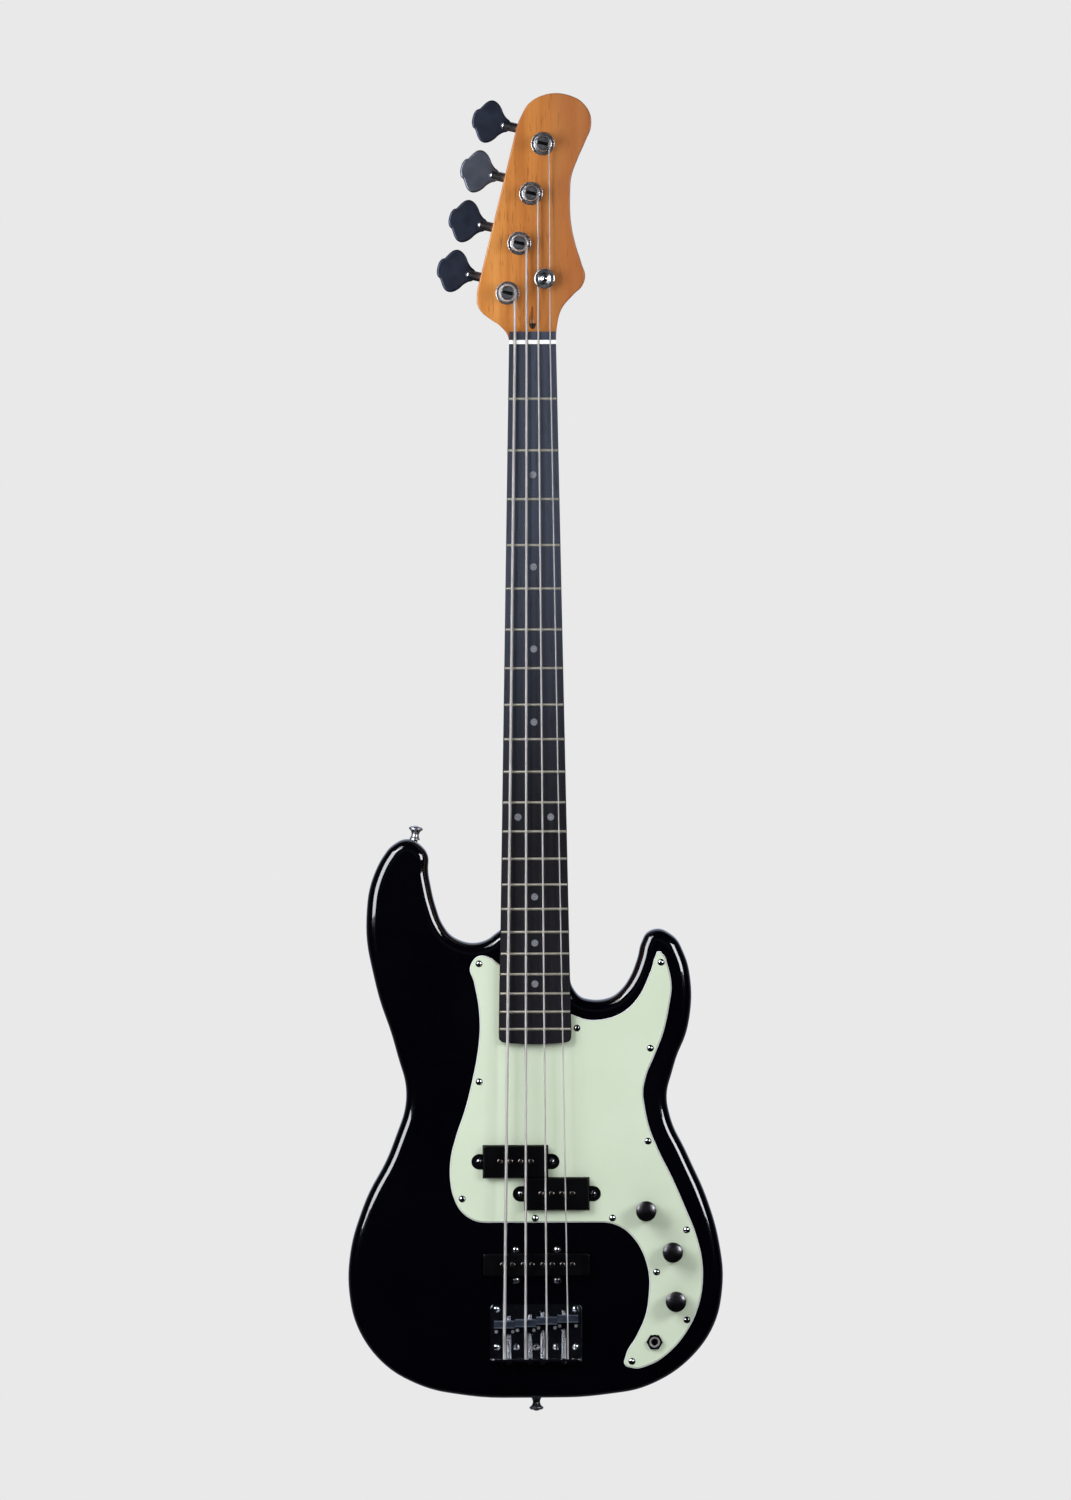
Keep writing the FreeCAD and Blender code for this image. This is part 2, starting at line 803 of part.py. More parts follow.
def pickup_screw_places(kind):
    x, z = pickup_place(kind)
    return [(x + ear_x, z + ear_z) for ear_x, ear_z in pickup_ears(kind)]


def pickup_ear_solids(name, kind, gap, top, depth):
    """Round ears, each with a straight run back to the pickup's middle line."""
    x, z = pickup_place(kind)
    wide = "%s + 2 * %s" % (ear_size(kind), gap)
    radius = worth(ear_size(kind)) / 2 + worth(gap)
    solids = []
    for index, (ear_x, ear_z) in enumerate(pickup_ears(kind)):
        ear = "%s_ear_%d" % (name, index)
        solids.append(cylinder(ear, wide, depth, at(x + ear_x, top, z + ear_z), BACK))
        if kind == "bridge":
            corner = at(x + ear_x - radius, top, z + min(ear_z, 0))
            solids.append(box(ear + "_run", wide, depth, "sizes.bridge_pickup_ear_z / 2", corner))
        else:
            corner = at(x + min(ear_x, 0), top, z - radius)
            solids.append(box(ear + "_run", "sizes.split_ear_offset", depth, wide, corner))
    return solids


def pickup_space(name, kind, gap, top, depth):
    """The room that a pickup takes, grown by a gap, from its top downwards."""
    x, z = pickup_place(kind)
    length, width = pickup_size(kind)
    corner = at(x - worth(length) / 2 - worth(gap), top, z - worth(width) / 2 - worth(gap))
    block = box(name + "_block", "%s + 2 * %s" % (length, gap), depth, "%s + 2 * %s" % (width, gap), corner)
    return fuse(name, [block] + pickup_ear_solids(name, kind, gap, top, depth))


def guard_screw_places():
    return [guard_place(across, along) for across, along in GUARD_SCREW_SHARES]


def control_places():
    return [(mm.volume_x, -mm.volume_z), (mm.blend_x, -mm.blend_z), (mm.tone_x, -mm.tone_z)]


def strap_seats():
    """The two strap buttons: the middle of each seat and the way that the button points."""
    middle = mm.body_thickness / 2
    bottom = Vector(0, middle, -mm.body_top - mm.body_length + mm.strap_seat_depth)
    tilt = math.radians(mm.strap_upper_tilt_degrees)
    upward = Vector(math.sin(tilt), 0, math.cos(tilt))
    horn = Vector(-mm.strap_upper_x, middle, -mm.body_top) - upward * mm.strap_seat_depth
    return [(bottom, DOWN), (horn, upward)]


# Body


def heel_outline(gap):
    """The neck's plan in the body's pocket, grown by a gap."""
    top = -mm.heel_start
    low = -mm.heel_end - gap
    radius = mm.heel_corner_radius + gap
    inset = radius * (1 - math.sqrt(0.5))
    upper = half_width(top) + gap
    lower = half_width(-mm.heel_end) + gap
    return outline((
        (upper, top),
        (-upper, top),
        (-lower, low + radius),
        ((-lower + inset, low + inset), (-lower + radius, low)),
        (lower - radius, low),
        ((lower - inset, low + inset), (lower, low + radius)),
    ))


def make_body():
    blank = new_body("body_blank")
    points = flat(*[body_place(across, along) for across, along in BODY_OUTLINE_SHARES])
    slab = pad(blank, sketch(blank, "XZ_Plane", closed_curve(points)), "sizes.body_thickness", True)
    doc.recompute()
    rims = edges_where(slab, lambda edge: edge.BoundBox.YLength < edge.Length / mm.body_length)
    round_edges(blank, slab, rims, "sizes.body_edge_radius")
    pocket(blank, sketch(blank, "XZ_Plane", heel_outline(mm.pocket_gap)),
           "sizes.heel_depth + sizes.board_thickness - sizes.board_top")
    controls = flat(*control_places(), (mm.jack_x, -mm.jack_z))
    wide = mm.pot_diameter + 2 * mm.cavity_margin
    for first, second in zip(controls, controls[1:]):
        pocket(blank, sketch(blank, "XZ_Plane", slot(first, second, wide)), "sizes.cavity_depth")
    treble_x, treble_z = pickup_place("treble")
    channel_start = Vector(treble_x + mm.split_length / 2, treble_z, 0)
    channel = slot(channel_start, controls[0], mm.wire_channel_width)
    pocket(blank, sketch(blank, "XZ_Plane", channel), "sizes.wire_channel_depth")
    drill(blank, guard_screw_places(), mm.small_screw_diameter + 2 * mm.hole_clearance,
          "sizes.small_screw_length + sizes.cut_overrun")
    drill(blank, bridge_screw_places(), mm.small_screw_diameter + 2 * mm.hole_clearance,
          "sizes.bridge_screw_length + sizes.cut_overrun")
    drill(blank, [place for kind in PICKUP_KINDS for place in pickup_screw_places(kind)],
          mm.small_screw_diameter + 2 * mm.seat_clearance,
          "sizes.pickup_screw_length + sizes.pickup_travel + sizes.cut_overrun")
    drill(blank, neck_screw_places(), mm.neck_screw_diameter + 2 * mm.hole_clearance,
          "sizes.body_thickness + sizes.cut_overrun")
    tools = [pickup_space("rout_" + kind, kind, "sizes.rout_gap", 0, "sizes.rout_depth")
             for kind in PICKUP_KINDS]
    bridge_x, bridge_z = pickup_place("bridge")
    bore_start = at(bridge_x + mm.bridge_pickup_length / 2, -mm.wire_channel_depth, bridge_z)
    bore_length = "sizes.blend_x - sizes.bridge_pickup_x - sizes.bridge_pickup_length / 2"
    tools.append(cylinder("wire_bore", "sizes.wire_bore_diameter", bore_length, bore_start, RIGHT))
    for index, (place, way) in enumerate(strap_seats()):
        tools.append(cylinder("strap_seat_%d" % index, "sizes.strap_button_base + 2 * sizes.hole_clearance",
                              "sizes.strap_button_height", place, way))
        bore = "sizes.strap_screw_diameter + 2 * sizes.hole_clearance"
        deep = "sizes.strap_screw_length + sizes.cut_overrun"
        tools.append(cylinder("strap_hole_%d" % index, bore, deep, place, way * -1))
    scoop = doc.addObject("Part::Ellipsoid", "belly_scoop")
    scoop.setExpression("Radius1", "sizes.belly_scoop_depth")
    scoop.setExpression("Radius2", "sizes.belly_scoop_reach")
    scoop.setExpression("Radius3", "sizes.belly_scoop_length / 2")
    waist = body_place(*BELLY_SCOOP_SHARES)
    lean = Rotation(BACK, mm.belly_scoop_lean_degrees)
    scoop.Placement = Placement(Vector(waist[0], mm.body_thickness, waist[1]),
                                lean.multiply(Rotation(UP, BACK)))
    tools.append(scoop)
    return cut("body", blank, tools)


# Neck, truss rod, fingerboard, frets, dots and nut


def headstock_outline():
    across = mm.headstock_width
    along = mm.headstock_length
    curve = flat(*[(x * across, z * along) for x, z in HEADSTOCK_CURVE_SHARES])
    corner = flat(*[(x * across, z * along) for x, z in HEADSTOCK_CORNER_SHARES])
    start = Vector(mm.nut_width / 2, 0, 0)
    finish = Vector(-mm.nut_width / 2, 0, 0)
    edge = corner[0] - curve[-1]
    return (
        [Part.LineSegment(finish, start)]
        + curve_through([start] + curve, Vector(0, 1, 0), edge)
        + [Part.LineSegment(curve[-1], corner[0])]
        + curve_through(corner + [finish], edge, Vector(0, -1, 0))
    )


def neck_section(body, z, front, depth, half):
    """Half-oval section of the neck, flat towards the front."""
    oval = Part.Ellipse(Vector(0, -front, 0), half, depth)
    ends = flat((-half, -front), (half, -front))
    return sketch(body, "XY_Plane", [Part.ArcOfEllipse(oval, 0, math.pi), Part.LineSegment(*ends)], z)


def block_section(body, z):
    half = half_width(z)
    front = -glue_height()
    back = front + mm.heel_depth
    return sketch(body, "XY_Plane", outline(((-half, front), (half, front), (half, back), (-half, back))), z)


def loft(body, profile, sections):
    feature = body.newObject("PartDesign::AdditiveLoft", body.Name + "_loft")
    feature.Profile = profile
    feature.Sections = sections
    feature.Ruled = True
    return feature


def arc_step(middle, radius, start, finish):
    """An arc step of an outline, about a middle, between two angles in radians."""
    turns = ((start + finish) / 2, finish)
    return tuple((middle[0] + radius * math.cos(turn), middle[1] + radius * math.sin(turn)) for turn in turns)


def make_ramp():
    """The hollow slope between the fingerboard's end and the headstock's face."""
    glue = glue_height()
    face = face_height()
    plank = new_body("ramp_plank")
    pad(plank, sketch(plank, "XZ_Plane", headstock_outline(), glue),
        "sizes.headstock_thickness + sizes.headstock_drop - sizes.board_thickness", True)
    slope = new_body("ramp_slope")
    fall = glue - face
    radius = (mm.ramp_length ** 2 + fall ** 2) / (2 * fall)
    sweep = math.asin(mm.ramp_length / radius)
    ramp_end = mm.board_past_nut + mm.ramp_length
    floor = -face + mm.headstock_edge_radius
    section = outline((
        (-glue, 0),
        (-glue, mm.board_past_nut),
        arc_step((-face - radius, ramp_end), radius, -sweep, 0),
        (floor, ramp_end),
        (floor, 0),
    ))
    pad(slope, sketch(slope, "YZ_Plane", section), "2 * sizes.headstock_width", middle=True)
    return common("headstock_ramp", slope, plank)


def make_headstock():
    """Headstock with rounded rims and a scoop behind, and the neck's shaft down to the heel."""
    blank = new_body("neck_blank")
    back = headstock_back()
    plank = pad(blank, sketch(blank, "XZ_Plane", headstock_outline(), face_height()),
                "sizes.headstock_thickness", True)
    doc.recompute()
    rims = edges_where(plank, lambda edge: edge.BoundBox.ZMax > mm.headstock_edge_radius
                       and edge.BoundBox.YLength < mm.headstock_edge_radius)
    round_edges(blank, plank, rims, "sizes.headstock_edge_radius")
    foot = -mm.scoop_foot
    rise = mm.scoop_top - foot
    depth = mm.scoop_radius - math.sqrt(mm.scoop_radius ** 2 - rise ** 2)
    sweep = math.asin(rise / mm.scoop_radius)
    scoop = outline((
        (-back - depth, foot),
        arc_step((-back - depth + mm.scoop_radius, foot), mm.scoop_radius, math.pi, math.pi - sweep),
        (-back + mm.cut_overrun, mm.scoop_top),
        (-back + mm.cut_overrun, foot),
    ))
    through = "2 * (sizes.headstock_width + sizes.cut_overrun)"
    pocket(blank, sketch(blank, "YZ_Plane", scoop), through, middle=True)
    half = mm.nut_width / 2
    glue = glue_height()
    core = (face_height() + back) / 2
    heel = -mm.heel_start - mm.heel_sweep_radius
    fade = neck_section(blank, mm.scoop_top, core, mm.neck_depth_at_nut - (glue - core), half)
    first = neck_section(blank, 0, glue, mm.neck_depth_at_nut, half)
    last = neck_section(blank, heel, glue, mm.neck_depth_at_heel, half_width(heel))
    loft(blank, fade, [first, last])
    return blank


def make_heel():
    """Heel block that sits in the body's pocket, swept up into the shaft."""
    blank = new_body("heel_blank")
    block = loft(blank, block_section(blank, -mm.heel_start), [block_section(blank, -mm.heel_end)])
    doc.recompute()
    corners = edges_where(block, lambda edge: edge.BoundBox.ZMax < -mm.heel_end + mm.cut_overrun
                          and edge.BoundBox.XLength < edge.BoundBox.YLength)
    round_edges(blank, block, corners, "sizes.heel_corner_radius")
    back = mm.heel_depth - glue_height()
    front = -glue_height() + mm.heel_lip
    middle = (front + mm.heel_sweep_radius, -mm.heel_start)
    sweep = math.acos((middle[0] - back) / mm.heel_sweep_radius)
    hollow = outline((
        (front, -mm.heel_start),
        arc_step(middle, mm.heel_sweep_radius, math.pi, math.pi + sweep),
        (back + mm.cut_overrun, -mm.heel_start - mm.heel_sweep_radius * math.sin(sweep)),
        (back + mm.cut_overrun, -mm.heel_start + mm.cut_overrun),
        (front, -mm.heel_start + mm.cut_overrun),
    ))
    through = "2 * (sizes.board_end_width + sizes.cut_overrun)"
    pocket(blank, sketch(blank, "YZ_Plane", hollow), through, middle=True)
    return blank


def rod_height():
    return mm.board_top - mm.rod_depth


def make_neck():
    whole = fuse("neck_whole", [make_headstock(), make_ramp(), make_heel()])
    face = face_height()
    back = headstock_back()
    through = "sizes.headstock_thickness + 2 * sizes.cut_overrun"
    tools = []
    for index in range(len(STRING_NAMES)):
        frame = tuner_placement(index)
        post = frame.multVec(at(0, face + mm.cut_overrun, 0))
        hole = "sizes.ferrule_barrel_diameter + 2 * sizes.hole_clearance"
        tools.append(cylinder("post_hole_%d" % index, hole, through, post, BACK))
        for corner, (x, z) in enumerate(tuner_screw_places()):
            place = frame.multVec(at(x, back, z))
            tools.append(cylinder("plate_hole_%d_%d" % (index, corner),
                                  "sizes.tuner_screw_diameter + 2 * sizes.hole_clearance",
                                  "sizes.tuner_screw_length", place, FRONT))
    for index, (x, z) in enumerate(neck_screw_places()):
        place = at(x, glue_height() - mm.heel_depth, z)
        tools.append(cylinder("heel_hole_%d" % index, "sizes.neck_screw_diameter + 2 * sizes.hole_clearance",
                              "sizes.neck_screw_length + sizes.heel_depth - sizes.body_thickness",
                              place, FRONT))
    tools.append(cylinder("retainer_hole", "sizes.small_screw_diameter + 2 * sizes.hole_clearance",
                          "sizes.headstock_thickness - sizes.cut_overrun",
                          at(mm.retainer_x, face, mm.retainer_z), BACK))
    wide = mm.rod_diameter / 2 + mm.seat_clearance
    deep = "sizes.rod_depth - sizes.board_thickness + sizes.rod_diameter / 2 + sizes.seat_clearance"
    tools.append(box("rod_channel", "sizes.rod_diameter + 2 * sizes.seat_clearance", deep,
                     "sizes.rod_end + sizes.board_past_nut", at(-wide, glue_height(), -mm.rod_end)))
    access = Vector(0, -rod_height(), mm.board_past_nut)
    bore = "sizes.rod_nut_diameter + 2 * sizes.seat_clearance"
    tools.append(cylinder("rod_access", bore, "sizes.rod_access_length", access, UP))
    room = "sizes.board_past_nut - sizes.rod_nut_start + sizes.seat_clearance"
    tools.append(cylinder("rod_nut_room", bore, room, access, DOWN))
    tools.append(cone("rod_access_tip", bore, "sizes.rod_nut_diameter / 6", "sizes.rod_access_taper",
                      access + UP * mm.rod_access_length, UP))
    return cut("neck", whole, tools)


def make_truss_rod():
    end = Vector(0, -rod_height(), -mm.rod_end)
    bar_length = "sizes.rod_end + sizes.rod_nut_start - sizes.seat_clearance"
    rod = cylinder("rod_bar", "sizes.rod_diameter", bar_length, end, UP)
    thread = cylinder("rod_thread", "sizes.rod_thread_diameter",
                      "sizes.rod_end + sizes.rod_nut_start + sizes.rod_thread_length", end, UP)
    return fuse("truss_rod", [rod, thread])


def make_rod_nut():
    start = Vector(0, -rod_height(), mm.rod_nut_start)
    barrel = cylinder("nut_barrel", "sizes.rod_nut_diameter", "sizes.rod_nut_length", start, UP)
    bore = cylinder("nut_bore", "sizes.rod_thread_diameter + 2 * sizes.running_clearance",
                    "sizes.rod_nut_length", start, UP)
    key = doc.addObject("Part::Prism", "nut_key")
    key.Polygon = 6
    key.setExpression("Circumradius", "sizes.rod_key_diameter / 2")
    key.setExpression("Height", "sizes.rod_nut_length")
    key.Placement = Placement(start + UP * mm.rod_thread_length, Rotation())
    return cut("truss_rod_nut", barrel, [bore, key])


def board_outline():
    top = mm.board_past_nut
    low = -mm.board_end
    radius = mm.board_corner_radius
    side = low + mm.board_end_bulge + radius
    inset = radius * (1 - math.sqrt(0.5))
    half = half_width(low)
    return outline((
        (half_width(top), top),
        (-half_width(top), top),
        (-half, side),
        ((-half + inset, side - radius + inset), (-half + radius, side - radius)),
        ((0, low), (half - radius, side - radius)),
        ((half - inset, side - radius + inset), (half, side)),
    ))


def over_board(lift):
    """The space in front of the radiused board, lifted so far off it, as an outline across the neck."""
    radius = mm.board_radius + lift
    half = mm.board_end_width
    crest = -mm.board_top - lift
    side = crest + radius - math.sqrt(radius ** 2 - half ** 2)
    clear = crest - half
    return outline(((-half, clear), (-half, side), ((0, crest), (half, side)), (half, clear)))


def make_board_blank():
    blank = new_body("board_blank")
    pad(blank, sketch(blank, "XZ_Plane", board_outline(), glue_height()), "sizes.board_thickness")
    through = "2 * (sizes.board_end + sizes.cut_overrun)"
    pocket(blank, sketch(blank, "XY_Plane", over_board(0)), through, middle=True)
    wide = mm.nut_width
    seat = outline(((-wide, 0), (wide, 0), (wide, mm.nut_thickness), (-wide, mm.nut_thickness)))
    pocket(blank, sketch(blank, "XZ_Plane", seat, mm.board_top), "sizes.nut_seat_depth")
    return blank


def make_frets():
    """Fret wire: a crown on a tang, bent to the board's radius and dressed back at its ends."""
    wire = new_body("fret_wire")
    top = -mm.board_top
    geometry = []
    for number in range(1, FRET_COUNT + 1):
        z = fret_z(number)
        crown = mm.fret_width / 2
        tang = mm.tang_width / 2
        geometry += outline((
            (top, z - crown),
            ((top - mm.fret_height, z), (top, z + crown)),
            (top, z + tang),
            (top + mm.tang_depth, z + tang),
            (top + mm.tang_depth, z - tang),
            (top, z - tang),
        ))
    profile = sketch(wire, "YZ_Plane", geometry)
    centre = top + mm.board_radius
    profile.addGeometry(Part.LineSegment(*flat((centre, 0), (centre, -mm.board_end))), True)
    bent = wire.newObject("PartDesign::Revolution", "fret_bend")
    bent.Profile = profile
    bent.ReferenceAxis = (profile, ["Axis0"])
    bent.Midplane = True
    bent.setExpression("Angle", "4 * asin(sizes.board_end_width / 2 / sizes.board_radius)")
    dressing = new_body("fret_dressing")
    top = half_width(0)
    low = half_width(-mm.board_end)
    plan = outline(((top, 0), (-top, 0), (-low, -mm.board_end), (low, -mm.board_end)))
    ends = pad(dressing, sketch(dressing, "XZ_Plane", plan, glue_height()),
               "sizes.board_thickness + sizes.fret_height + sizes.cut_overrun")
    ends.TaperAngle = FRET_END_DEGREES
    return common("frets", wire, dressing)


def make_dots(board):
    dots = []
    for number in SINGLE_DOT_FRETS + (PAIR_DOT_FRET,):
        z = (fret_z(number - 1) + fret_z(number)) / 2
        offsets = (-mm.dot_pair_spacing / 2, mm.dot_pair_spacing / 2) if number == PAIR_DOT_FRET else (0,)
        for side, x in enumerate(offsets):
            start = at(x, mm.board_top + mm.cut_overrun, z)
            dots.append(cylinder("dot_%d_%d" % (number, side), "sizes.dot_diameter",
                                 "sizes.dot_depth + sizes.cut_overrun", start, BACK))
        edge = mm.side_dot_diameter
        for side in range(len(offsets)):
            lift = edge * (side - (len(offsets) - 1) / 2) * 2
            start = at(-half_width(z) - mm.cut_overrun, glue_height() + edge, z + lift)
            dots.append(cylinder("side_dot_%d_%d" % (number, side), "sizes.side_dot_diameter",
                                 "sizes.dot_depth + sizes.cut_overrun", start, RIGHT))
    return common("position_dots", group("dot_plugs", dots), board)


def make_nut():
    blank = new_body("nut")
    half = mm.nut_width / 2
    plan = outline(((-half, 0), (half, 0), (half, mm.nut_thickness), (-half, mm.nut_thickness)))
    base = mm.board_top - mm.nut_seat_depth
    pad(blank, sketch(blank, "XZ_Plane", plan, base), "sizes.nut_height")
    through = "2 * (sizes.nut_thickness + sizes.cut_overrun)"
    rise = mm.nut_height - mm.nut_seat_depth
    pocket(blank, sketch(blank, "XY_Plane", over_board(rise)), through, middle=True)
    for line in STRINGS:
        radius = line.gauge / 2 + mm.string_clearance
        left = line.nut_x - radius
        right = line.nut_x + radius
        open_end = -line.nut_height - mm.nut_height
        notch = outline((
            (left, open_end),
            (left, -line.nut_height),
            ((line.nut_x, -line.nut_height + radius), (right, -line.nut_height)),
            (right, open_end),
        ))
        pocket(blank, sketch(blank, "XY_Plane", notch), through, middle=True)
    return blank


# Screws


def dome_middle(radius, height):
    """Middle of the arc of a dome, as a radius and a drop below its top."""
    ball = (radius ** 2 + height ** 2) / (2 * height)
    sweep = math.asin(radius / ball) / 2
    return ball * math.sin(sweep), ball * (1 - math.cos(sweep))


def quarter_round(edge):
    """How far the middle of a quarter-round edge lies inside each of its two sides."""
    return edge * (1 - math.sqrt(0.5))


def screw(name, head_diameter, head_height, diameter, length, sunk=False):
    """A pointed screw along Y with its head to the front; the origin is under the head, or level with
    the top of a sunk head's cone."""
    head = head_diameter / 2
    shank = diameter / 2
    across, drop = dome_middle(head, head_height)
    neck = head - shank if sunk else 0
    return turned(name, "XY_Plane", (
        (0, -head_height),
        ((across, drop - head_height), (head, 0)),
        (shank, neck),
        (shank, length - diameter),
        (0, length),
    ))


def on_front(places, height):
    return [Placement(at(x, height, z), Rotation()) for x, z in places]


TURNED_ROUND = Rotation(UP, BACKWARDS_DEGREES)


def make_screws():
    """Every set of loose screws, with the pieces that they hold given by their places."""
    head = mm.small_screw_head_diameter
    rise = mm.small_screw_head_height
    shank = mm.small_screw_diameter
    guard_screw = screw("guard_screw", head, rise, shank, mm.small_screw_length)
    bridge_screw = screw("bridge_screw", head, rise, shank, mm.bridge_screw_length)
    pickup_screw = screw("pickup_screw", head, rise, shank, mm.pickup_screw_length)
    tuner_screw = screw("tuner_screw", mm.tuner_screw_head_diameter, mm.tuner_screw_head_height,
                        mm.tuner_screw_diameter, mm.tuner_screw_length)
    neck_screw = screw("neck_screw", mm.neck_screw_head_diameter, mm.neck_screw_head_height,
                       mm.neck_screw_diameter, mm.neck_screw_length, True)
    strap_screw = screw("strap_screw", mm.strap_screw_head_diameter, mm.strap_screw_head_height,
                        mm.strap_screw_diameter, mm.strap_screw_length + mm.strap_button_height, True)
    retainer_screw = screw("retainer_pin", head, rise, shank, mm.retainer_screw_length)
    tuner_back = headstock_back() - mm.tuner_plate_thickness
    tuner_places = [
        tuner_placement(index).multiply(Placement(at(x, tuner_back, z), TURNED_ROUND))
        for index in range(len(STRING_NAMES)) for x, z in tuner_screw_places()
    ]
    plate_back = -mm.body_thickness - mm.neck_plate_thickness
    neck_places = [Placement(at(x, plate_back, z), TURNED_ROUND) for x, z in neck_screw_places()]
    strap_places = [Placement(place + way * mm.strap_button_height, Rotation(FRONT, way))
                    for place, way in strap_seats()]
    dish = face_height() + mm.retainer_height - mm.retainer_dish_depth
    sets = [
        copies("pickguard_screws", guard_screw, on_front(guard_screw_places(), mm.guard_thickness)),
        copies("bridge_screws", bridge_screw, on_front(bridge_screw_places(), mm.bridge_thickness)),
        copies("tuner_screws", tuner_screw, tuner_places),
        copies("neck_screws", neck_screw, neck_places),
        copies("strap_button_screws", strap_screw, strap_places),
        copies("retainer_screw", retainer_screw, on_front([(mm.retainer_x, mm.retainer_z)], dish)),
    ]
    for kind in PICKUP_KINDS:
        places = on_front(pickup_screw_places(kind), mm.pickup_ear_top)
        sets.append(copies(kind + "_pickup_screws", pickup_screw, places))
    return sets


# Pickguard, pickups and their foam


def guard_outline():
    gap = mm.pocket_gap
    bass_z = -mm.guard_bass_meeting
    treble_z = -mm.guard_treble_meeting
    low = -mm.heel_end - gap
    bass_meeting, treble_meeting, bass_corner, treble_corner = flat(
        (-half_width(bass_z) - gap, bass_z), (half_width(treble_z) + gap, treble_z),
        (-half_width(low) - gap, low), (half_width(low) + gap, low))
    bass = flat(*[guard_place(across, along) for across, along in GUARD_BASS_SHARES])
    treble = flat(*[guard_place(across, along) for across, along in GUARD_TREBLE_SHARES])
    bottom = treble[0] - bass[-1]
    return (
        curve_through([bass_meeting] + bass, bass[0] - bass_meeting, bottom)
        + [Part.LineSegment(bass[-1], treble[0])]
        + curve_through(treble + [treble_meeting], bottom, treble_meeting - treble[-1])
        + [Part.LineSegment(treble_meeting, treble_corner), Part.LineSegment(treble_corner, bass_corner),
           Part.LineSegment(bass_corner, bass_meeting)]
    )


def make_guard():
    blank = new_body("guard_blank")
    sheet_pad = pad(blank, sketch(blank, "XZ_Plane", guard_outline()), "sizes.guard_thickness")
    doc.recompute()
    neck_side = half_width(-mm.heel_end) + 2 * mm.pocket_gap
    neck_end = -mm.heel_end - 2 * mm.pocket_gap
    rims = edges_where(sheet_pad, lambda edge: edge.BoundBox.YMax < -mm.guard_thickness / 2
                       and (abs(edge.CenterOfMass.x) > neck_side or edge.CenterOfMass.z < neck_end))
    bevel = blank.newObject("PartDesign::Chamfer", "guard_bevelled")
    bevel.Base = (sheet_pad, rims)
    bevel.setExpression("Size", "sizes.guard_bevel")
    through = "sizes.guard_thickness + sizes.cut_overrun"
    top = mm.guard_thickness
    drill(blank, guard_screw_places(), mm.small_screw_diameter + 2 * mm.hole_clearance, through, top)
    drill(blank, control_places(), mm.pot_bush_diameter + 2 * mm.hole_clearance, through, top)
    drill(blank, [(mm.jack_x, -mm.jack_z)], mm.jack_bush_diameter + 2 * mm.hole_clearance, through, top)
    openings = [pickup_space("guard_cut_" + kind, kind, "sizes.pickup_gap", top + mm.cut_overrun,
                             "sizes.guard_thickness + 2 * sizes.cut_overrun")
                for kind in PICKUP_KINDS if kind != "bridge"]
    return cut("pickguard", blank, openings)


def pole_places(kind):
    x, z = pickup_place(kind)
    if kind == "bridge":
        return [(x + share * mm.bridge_pickup_length, z) for share in BRIDGE_POLE_SHARES]
    return [(x + step * mm.split_pole_spacing, z) for step in SPLIT_POLE_STEPS]


def pickup_block(kind, inset, corner):
    """A rounded oblong about a pickup's middle, so far inside its outline."""
    x, z = pickup_place(kind)
    length, width = [worth(size) / 2 - inset for size in pickup_size(kind)]
    return rounded_rectangle(x - length, x + length, z - width, z + width, corner)


def make_pickup(kind):
    """Cover with ears, coil and pole pieces of one pickup."""
    x, z = pickup_place(kind)
    cover = new_body(kind + "_pickup_cover")
    block = pad(cover, sketch(cover, "XZ_Plane", pickup_block(kind, 0, mm.pickup_corner), -mm.pickup_sink),
                "sizes.pickup_top + sizes.pickup_sink")
    doc.recompute()
    rims = edges_where(block, lambda edge: edge.BoundBox.YMax < -mm.pickup_top / 2)
    round_edges(cover, block, rims, "sizes.pickup_edge_radius")
    for ear_x, ear_z in pickup_ears(kind):
        inner = (x + ear_x, z) if kind == "bridge" else (x, z)
        run = slot(*flat(inner, (x + ear_x, z + ear_z)), worth(ear_size(kind)))
        pad(cover, sketch(cover, "XZ_Plane", run, mm.pickup_ear_top), "sizes.pickup_ear_thickness", True)
    wall = mm.pickup_wall
    inside = pickup_block(kind, wall, mm.pickup_corner - wall)
    pocket(cover, sketch(cover, "XZ_Plane", inside, -mm.pickup_sink),
           "sizes.pickup_top + sizes.pickup_sink - sizes.pickup_wall", True)
    pole_hole = mm.pole_diameter + 2 * mm.hole_clearance
    drill(cover, pole_places(kind), pole_hole, "sizes.pickup_wall + sizes.cut_overrun", mm.pickup_top)
    drill(cover, pickup_screw_places(kind), mm.small_screw_diameter + 2 * mm.hole_clearance,
          "sizes.pickup_ear_thickness + sizes.cut_overrun", mm.pickup_ear_top)
    coil_body = new_body(kind + "_pickup_coil")
    coil_top = mm.pickup_top - mm.pickup_wall
    winding = pickup_block(kind, mm.coil_margin, mm.pickup_corner)
    pad(coil_body, sketch(coil_body, "XZ_Plane", winding, coil_top), "sizes.coil_height", True)
    drill(coil_body, pole_places(kind), pole_hole, "sizes.coil_height + sizes.cut_overrun", coil_top)
    poles = new_body(kind + "_pickup_poles")
    tips = mm.pickup_top + mm.pole_rise
    pad(poles, sketch(poles, "XZ_Plane", circles(pole_places(kind), mm.pole_diameter), tips),
        "sizes.pole_length", True)
    return [cover, coil_body, poles]


def make_foam():
    """Pads on the floors of the pickup routs, low enough for the pickups' travel."""
    foam = new_body("pickup_foam_pads")
    for kind in PICKUP_KINDS:
        block = pickup_block(kind, mm.foam_inset, mm.pickup_corner)
        pad(foam, sketch(foam, "XZ_Plane", block, -mm.rout_depth),
            "sizes.rout_depth - sizes.pickup_sink - sizes.pickup_travel - sizes.seat_clearance")
    return foam


# Knobs, potentiometers, jack and wiring


